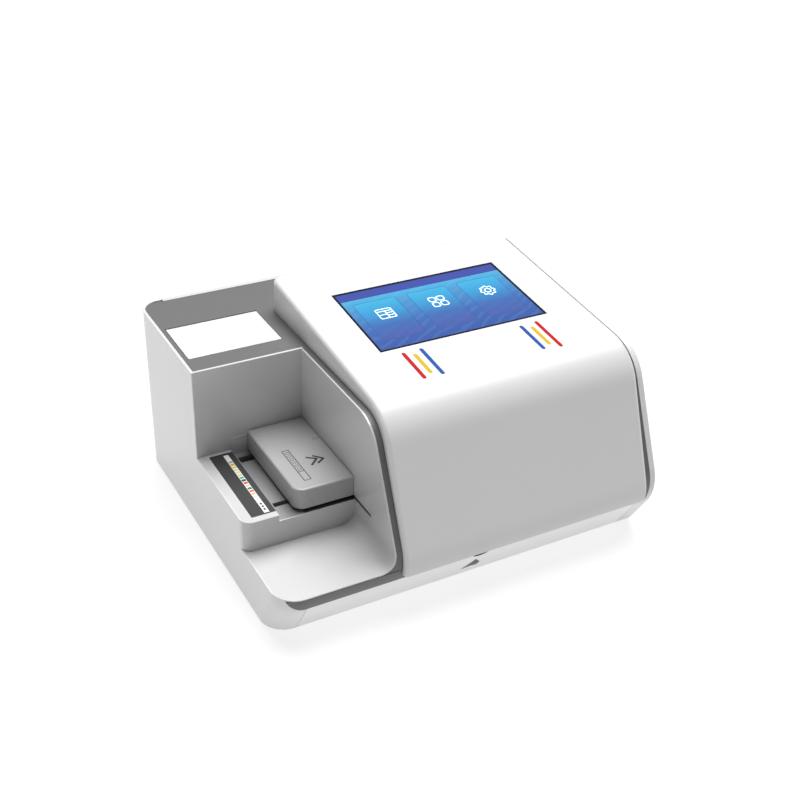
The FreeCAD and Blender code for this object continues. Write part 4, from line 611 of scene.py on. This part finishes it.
# Finger notch: a leaf-shaped recess in the chin that a fingertip catches to pull the
# waste drawer out. The photograph shows its shade as a dark leaf in the middle of the
# chin, and a thin dark leaf on the front's face draws that shade.
photo_width = 800.0
leaf_pixels = [(461.2, 568.8), (470.4, 565.4), (476.0, 563.9), (479.4, 561.0), (476.0, 559.0),
               (465.3, 566.4)]
leaf_lifts = (0.00004, 0.00020)


def on_drawer_front(pixel, lift):
    """The drawer front's point that a pixel of the photograph shows, lifted off its face."""
    turned = camera.rotation_euler.to_matrix()
    half_wide = camera_data.sensor_width / camera_data.lens / 2
    across = (2 * pixel[0] / photo_width - 1 + 2 * camera_shift[0]) * half_wide
    up = (1 - 2 * pixel[1] / photo_width + 2 * camera_shift[1]) * half_wide
    front = bpy.data.objects["drawer_front"]
    to_front = front.matrix_world.inverted()
    start = to_front @ Vector(camera_place)
    toward = to_front.to_3x3() @ (turned @ Vector((across, up, -1.0)))
    found, place, normal, _ = front.ray_cast(start, toward)
    if not found:
        raise RuntimeError("the notch's outline misses the drawer front")
    return front.matrix_world @ (place + normal * lift)


leaf_points = [on_drawer_front(pixel, lift) for lift in leaf_lifts for pixel in leaf_pixels]
leaf_faces = plate_faces(len(leaf_pixels), 0)
leaf_dark = moulded("notch_shade", (0.07, 0.07, 0.072), gloss=0.5, spread=0.06)
new_piece("finger_notch_leaf", leaf_points, leaf_faces, leaf_dark, "drawer")

# Coloured bars: three rounded stripes printed on each side of the bare place under the
# screen, red and blue long and yellow short. They are screen printed in thick ink.
bar_width = 3.5
bar_end_points = 13
bar_colours = {"red_ink": (0.44, 0.006, 0.008), "yellow_ink": (0.56, 0.38, 0.020),
               "blue_ink": (0.014, 0.075, 0.310)}
bar_runs = {"red_ink": [((14.4, -9.9), (14.4, -43.3)), ((139.1, -9.9), (139.1, -45.6))],
            "yellow_ink": [((22.3, -14.5), (22.3, -38.6)), ((131.7, -15.6), (131.7, -39.4))],
            "blue_ink": [((30.5, -9.6), (30.5, -43.2)), ((123.7, -11.0), (123.7, -43.4))]}
ink_lift = (0.005, 0.045)
for ink, runs in bar_runs.items():
    ink_material = moulded(ink, bar_colours[ink], gloss=0.45, spread=0.05, grain_depth=0.000003, shine=0.08)
    bar_plates = [stroke(start, end, bar_width, bar_end_points) for start, end in runs]
    raised_prints("bar_" + ink, bar_plates, on_cover, ink_lift, ink_material, "housing")

# Loading bay: a light grey strip table with two pusher slots, a dark grey placement
# panel with a printed test strip that shows where the strip goes, and a light grey
# hood that stands on two pegs and lifts off for cleaning.
table_grey = moulded("table_plastic", (0.25, 0.25, 0.255), gloss=0.30, spread=0.05)
finish(table_grey, "strip_table")
panel_dark = moulded("panel_film", (0.046, 0.046, 0.048), gloss=0.55, spread=0.06, grain_depth=0.000006,
                     shine=0.15)
finish(panel_dark, "label_panel")
hood_grey = moulded("hood_plastic", (0.35, 0.35, 0.355), gloss=0.28, spread=0.06)
finish(hood_grey, "strip_hood")


def on_level(height):
    """A function that puts flat points at a height, lifted by a given amount."""
    return lambda x, y, lift: metres(np.stack([x, y, height + lift], axis=-1))


def oblong(x0, x1, y0, y1):
    """A rectangle's corners, turning left."""
    return [(x0, y0), (x1, y0), (x1, y1), (x0, y1)]


on_panel = on_level(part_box("label_panel")[1].z * 1000 + frame_shift[2])
strip_x = (20.9, 24.4)
strip_front, strip_back = 80.9, 166.4
strip_edge = 0.35
strip_lift = (0.004, 0.03)
strip_white = moulded("printed_strip_white", (0.80, 0.79, 0.76), gloss=0.4, spread=0.05)
strip_plate = oblong(strip_x[0] - strip_edge, strip_x[1] + strip_edge, strip_front, strip_back)
raised_prints("printed_strip", [strip_plate], on_panel, strip_lift, strip_white, "housing")

pad_colours = [(0.42, 0.33, 0.33), (0.62, 0.33, 0.09), (0.58, 0.56, 0.06), (0.62, 0.60, 0.34),
               (0.60, 0.58, 0.50), (0.62, 0.55, 0.06), (0.05, 0.34, 0.32), (0.02, 0.03, 0.03),
               (0.55, 0.06, 0.05), (0.50, 0.46, 0.42), (0.02, 0.15, 0.09), (0.52, 0.13, 0.03),
               (0.62, 0.36, 0.26), (0.64, 0.55, 0.38)]
pad_length = 2.9
pad_pitch = 4.0
pad_start = 9.6
pad_lift = (0.032, 0.05)
for number, colour in enumerate(pad_colours):
    pad_back = strip_back - pad_start - number * pad_pitch
    pad_ink = moulded(f"pad_ink_{number}", colour, gloss=0.5, spread=0.05, grain_depth=0.000005)
    pad_plate = oblong(strip_x[0], strip_x[1], pad_back - pad_length, pad_back)
    raised_prints(f"printed_pad_{number}", [pad_plate], on_panel, pad_lift, pad_ink,
                  "housing")

grip_x = (21.8, 23.5)
grip_fronts = (84.2, 87.9, 91.6)
grip_length = 2.6
grip_blocks = [oblong(grip_x[0], grip_x[1], front, front + grip_length) for front in grip_fronts]
grip_ink = moulded("grip_ink", (0.03, 0.03, 0.03), gloss=0.5, spread=0.05)
raised_prints("printed_grip_marks", grip_blocks, on_panel, pad_lift, grip_ink, "housing")

# A black strip on the channel's floor under the hood's front is painted shade for the deep
# shadow there, and a white flap closes the pushers' tunnel beside the hood.
shade_strip_x, shade_strip_y = (51.5, 93.9), (74.2, 79.5)
shade_strip_lift = (0.05, 1.2)
channel_floor = 67.0
on_channel = on_level(channel_floor)
painted_shade_strip = moulded("painted_shade_strip", (0.012, 0.012, 0.012), gloss=0.85, spread=0.05, grain_depth=0.000060)
shade_strip_plate = oblong(shade_strip_x[0], shade_strip_x[1], shade_strip_y[0], shade_strip_y[1])
raised_prints("hood_painted_shade_strip", [shade_strip_plate], on_channel, shade_strip_lift, painted_shade_strip, "housing")

flap_x = (29.6, 44.2)
flap_y = (171.5, 172.0)
flap_z = (67.1, 84.4)
flap_corners = [(x, y, z) for z in flap_z for y in flap_y for x in flap_x]
flap_faces = [(0, 2, 3, 1), (4, 5, 7, 6), (0, 1, 5, 4), (2, 6, 7, 3), (0, 4, 6, 2), (1, 3, 7, 5)]
new_piece("tunnel_flap", metres(flap_corners), flap_faces, housing_white, "housing")

# The hood's top is printed with two arrows and the outline of a strip with its pads.
on_hood = on_level(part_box("strip_hood")[1].z * 1000 + frame_shift[2])
mark_lift = (0.005, 0.035)
mark_dark = moulded("hood_ink", (0.015, 0.015, 0.017), gloss=0.4, spread=0.05)
chevron_width = 1.9
chevrons = [[(71.5, 114.5), (78.1, 109.7), (71.4, 103.5)], [(77.3, 114.3), (83.2, 107.9), (77.1, 103.9)]]
chevron_plates = [plate for chevron in chevrons for plate in band(chevron, chevron_width, False)]
raised_prints("hood_arrows", chevron_plates, on_hood, mark_lift, mark_dark, "hood")

mark_x = (57.0, 62.5)
mark_front, mark_back = 86.6, 130.4
mark_line = 0.7
mark_divider = mark_front + 12.5
mark_pad_inset, mark_pad_half = 1.5, 1.3
mark_pad_shares = (0.36, 0.47, 0.58, 0.69, 0.80, 0.91)
strip_mark = band(oblong(mark_x[0], mark_x[1], mark_front, mark_back), mark_line, True)
strip_mark += band([(mark_x[0], mark_divider), (mark_x[1], mark_divider)], mark_line, False)
for share in mark_pad_shares:
    pad_middle = mark_front + share * (mark_back - mark_front)
    pad_front, pad_back = pad_middle - mark_pad_half, pad_middle + mark_pad_half
    pad_outline = oblong(mark_x[0] + mark_pad_inset, mark_x[1] - mark_pad_inset, pad_front, pad_back)
    strip_mark += band(pad_outline, mark_line / 2, True)
raised_prints("hood_strip_mark", strip_mark, on_hood, mark_lift, mark_dark, "hood")

# Strip transport: two pusher blades on a black carriage walk each strip along the
# table. The carriage slides on ground rods and is pulled by a toothed belt between
# two pulleys, one on the motor. It sits behind the block wall, under the deck.
ground_rod_x = metal("ground_rod_along_x", (0.62, 0.62, 0.63), gloss=0.16, spread=0.10,
                     along=(0.03, 1.0, 1.0))
ground_rod_y = metal("ground_rod_along_y", (0.62, 0.62, 0.63), gloss=0.16, spread=0.10,
                     along=(1.0, 0.03, 1.0))
carriage_black = moulded("carriage_black", (0.028, 0.028, 0.030), gloss=0.38, spread=0.08,
                         grain_depth=0.000008)
bronze = metal("bush_bronze", (0.52, 0.33, 0.13), gloss=0.36, spread=0.15)
turned_alloy = metal("turned_alloy", (0.72, 0.72, 0.73), gloss=0.28, spread=0.15, along=(1.0, 0.05, 1.0))
motor_steel = metal("motor_can_steel", (0.42, 0.42, 0.43), gloss=0.34, spread=0.15, along=(1.0, 0.05, 1.0))
belt_black = moulded("belt_rubber", (0.022, 0.022, 0.022), gloss=0.62, spread=0.10, grain_depth=0.000020)
finish(zinc_sheet, "transport_frame", "waste_chute")
finish(ground_rod_x, "guide_rods")
finish(carriage_black, "transport_carriage")
finish(bronze, "rod_bushes")
finish(belt_black, "drive_belt")
finish(turned_alloy, "driver_pulley", "idler_pulley")
finish(ground_rod_y, "idler_pin")
finish(motor_steel, "transport_motor")

# Reader: a black optical head with a glass lens hangs on two rods over the end of the
# strip table, and a lead screw with its own motor moves it along the strip.
finish(zinc_sheet, "reader_frame")
finish(ground_rod_y, "reader_rods", "reader_screw")
finish(carriage_black, "reader_head")
finish(motor_steel, "reader_motor")
lens_glass = bpy.data.materials.new("lens_glass")
lens_shader = shader_of(lens_glass)
lens_shader.inputs["Base Color"].default_value = (0.75, 0.85, 0.95, 1.0)
lens_shader.inputs["Roughness"].default_value = 0.03
lens_shader.inputs["IOR"].default_value = 1.5
lens_shader.inputs["Transmission Weight"].default_value = 1.0
finish(lens_glass, "reader_lens")

# Printer: a black bucket under the paper door holds the thermal roll. The platen
# roller rides in the door and a small motor turns it through the cream gear. The print
# head stands on the shelf below the platen.
bucket_black = moulded("bucket_black", (0.030, 0.030, 0.032), gloss=0.46, spread=0.08, grain_depth=0.000012)
platen_black = moulded("platen_rubber", (0.045, 0.045, 0.045), gloss=0.60, spread=0.06,
                       grain_depth=0.000006)
gear_cream = moulded("gear_plastic", (0.78, 0.76, 0.70), gloss=0.42, spread=0.06)
motor_steel_x = metal("motor_can_along_x", (0.42, 0.42, 0.43), gloss=0.34, spread=0.15,
                      along=(0.05, 1.0, 1.0))
finish(bucket_black, "paper_bucket", "thermal_head")
finish(platen_black, "platen_roller")
finish(gear_cream, "drive_gear")
finish(motor_steel_x, "printer_motor")
finish(ground_rod_x, "lid_pin")

# The thermal paper is wound in thin layers, which show as fine rings on the roll's ends.
roll_middle = (229.15, 118.3)
paper_layer = 0.00035
layer_tone, fibre_tone, paper_tone_low = 0.04, 0.06, 0.93
paper_white = bpy.data.materials.new("thermal_paper")
paper_shader = shader_of(paper_white)
tree = paper_white.node_tree
place = tree.nodes.new("ShaderNodeTexCoord")
shifted = tree.nodes.new("ShaderNodeVectorMath")
shifted.operation = "SUBTRACT"
shifted.inputs[1].default_value = tuple(metres((frame_shift[0], *roll_middle)))
tree.links.new(place.outputs["Object"], shifted.inputs[0])
parts = tree.nodes.new("ShaderNodeSeparateXYZ")
tree.links.new(shifted.outputs[0], parts.inputs[0])
across_square = maths(tree, "MULTIPLY", parts.outputs[1], parts.outputs[1])
up_square = maths(tree, "MULTIPLY", parts.outputs[2], parts.outputs[2])
from_middle = maths(tree, "SQRT", maths(tree, "ADD", across_square, up_square))
layers = maths(tree, "SINE", maths(tree, "MULTIPLY", from_middle, 2 * math.pi / paper_layer))
fibre_scale = 500.0
fibre = noise(tree, place.outputs["Object"], fibre_scale, 3.0)
fibred = maths(tree, "MULTIPLY_ADD", fibre, fibre_tone, paper_tone_low)
paper_tone = maths(tree, "MULTIPLY_ADD", layers, layer_tone, fibred)
tree.links.new(toned_colour(tree, (0.86, 0.86, 0.84), paper_tone), paper_shader.inputs["Base Color"])
paper_shader.inputs["Roughness"].default_value = 0.55
bump(tree, paper_shader, layers, 0.00002)
finish(paper_white, "paper_roll")

# Electronics: a green main board on four pillars, a sheet-metal power supply with
# vents behind it, and a flat grey cable up to the display.
board_green = moulded("board_green", (0.016, 0.120, 0.050), gloss=0.30, spread=0.10,
                      grain_depth=0.000010, tone=0.4)
finish(board_green, "main_board")
chip_black = moulded("chip_black", (0.022, 0.022, 0.024), gloss=0.45, spread=0.08, grain_depth=0.000008)
finish(chip_black, "board_parts")
bright_steel = metal("bright_steel", (0.63, 0.63, 0.64), gloss=0.24, spread=0.12)
finish(bright_steel, "standoffs", "board_screws")
finish(zinc_sheet, "power_supply")
cable_grey = moulded("ribbon_grey", (0.48, 0.49, 0.51), gloss=0.45, spread=0.08, grain_depth=0.000006)
finish(cable_grey, "display_cable")

# Back: a mid-grey panel with cooling slots, a mains inlet with three flat pins, a
# rocker switch in its frame, and a serial, a network and a small data socket.
rear_grey = moulded("rear_plastic", (0.56, 0.56, 0.565), gloss=0.42, spread=0.06, grain_depth=0.000010)
finish(rear_grey, "back_panel")
socket_black = moulded("socket_black", (0.022, 0.022, 0.023), gloss=0.36, spread=0.08, grain_depth=0.000008)
finish(socket_black, "mains_inlet", "switch_frame", "network_port")
finish(bright_steel, "mains_pins", "serial_port", "usb_port")
rocker_black = moulded("rocker_black", (0.030, 0.030, 0.031), gloss=0.28, spread=0.06, grain_depth=0.000004)
finish(rocker_black, "switch_rocker")

# Base: a grey moulded pan screwed into the housing from below, with cooling slots,
# and four rubber feet pushed into it.
pan_grey = moulded("pan_plastic", (0.26, 0.26, 0.265), gloss=0.50, spread=0.08, grain_depth=0.000012)
finish(pan_grey, "base_pan")
foot_black = moulded("foot_rubber", (0.030, 0.030, 0.030), gloss=0.68, spread=0.10, grain_depth=0.000020)
finish(foot_black, "feet")
finish(bright_steel, "base_screws")
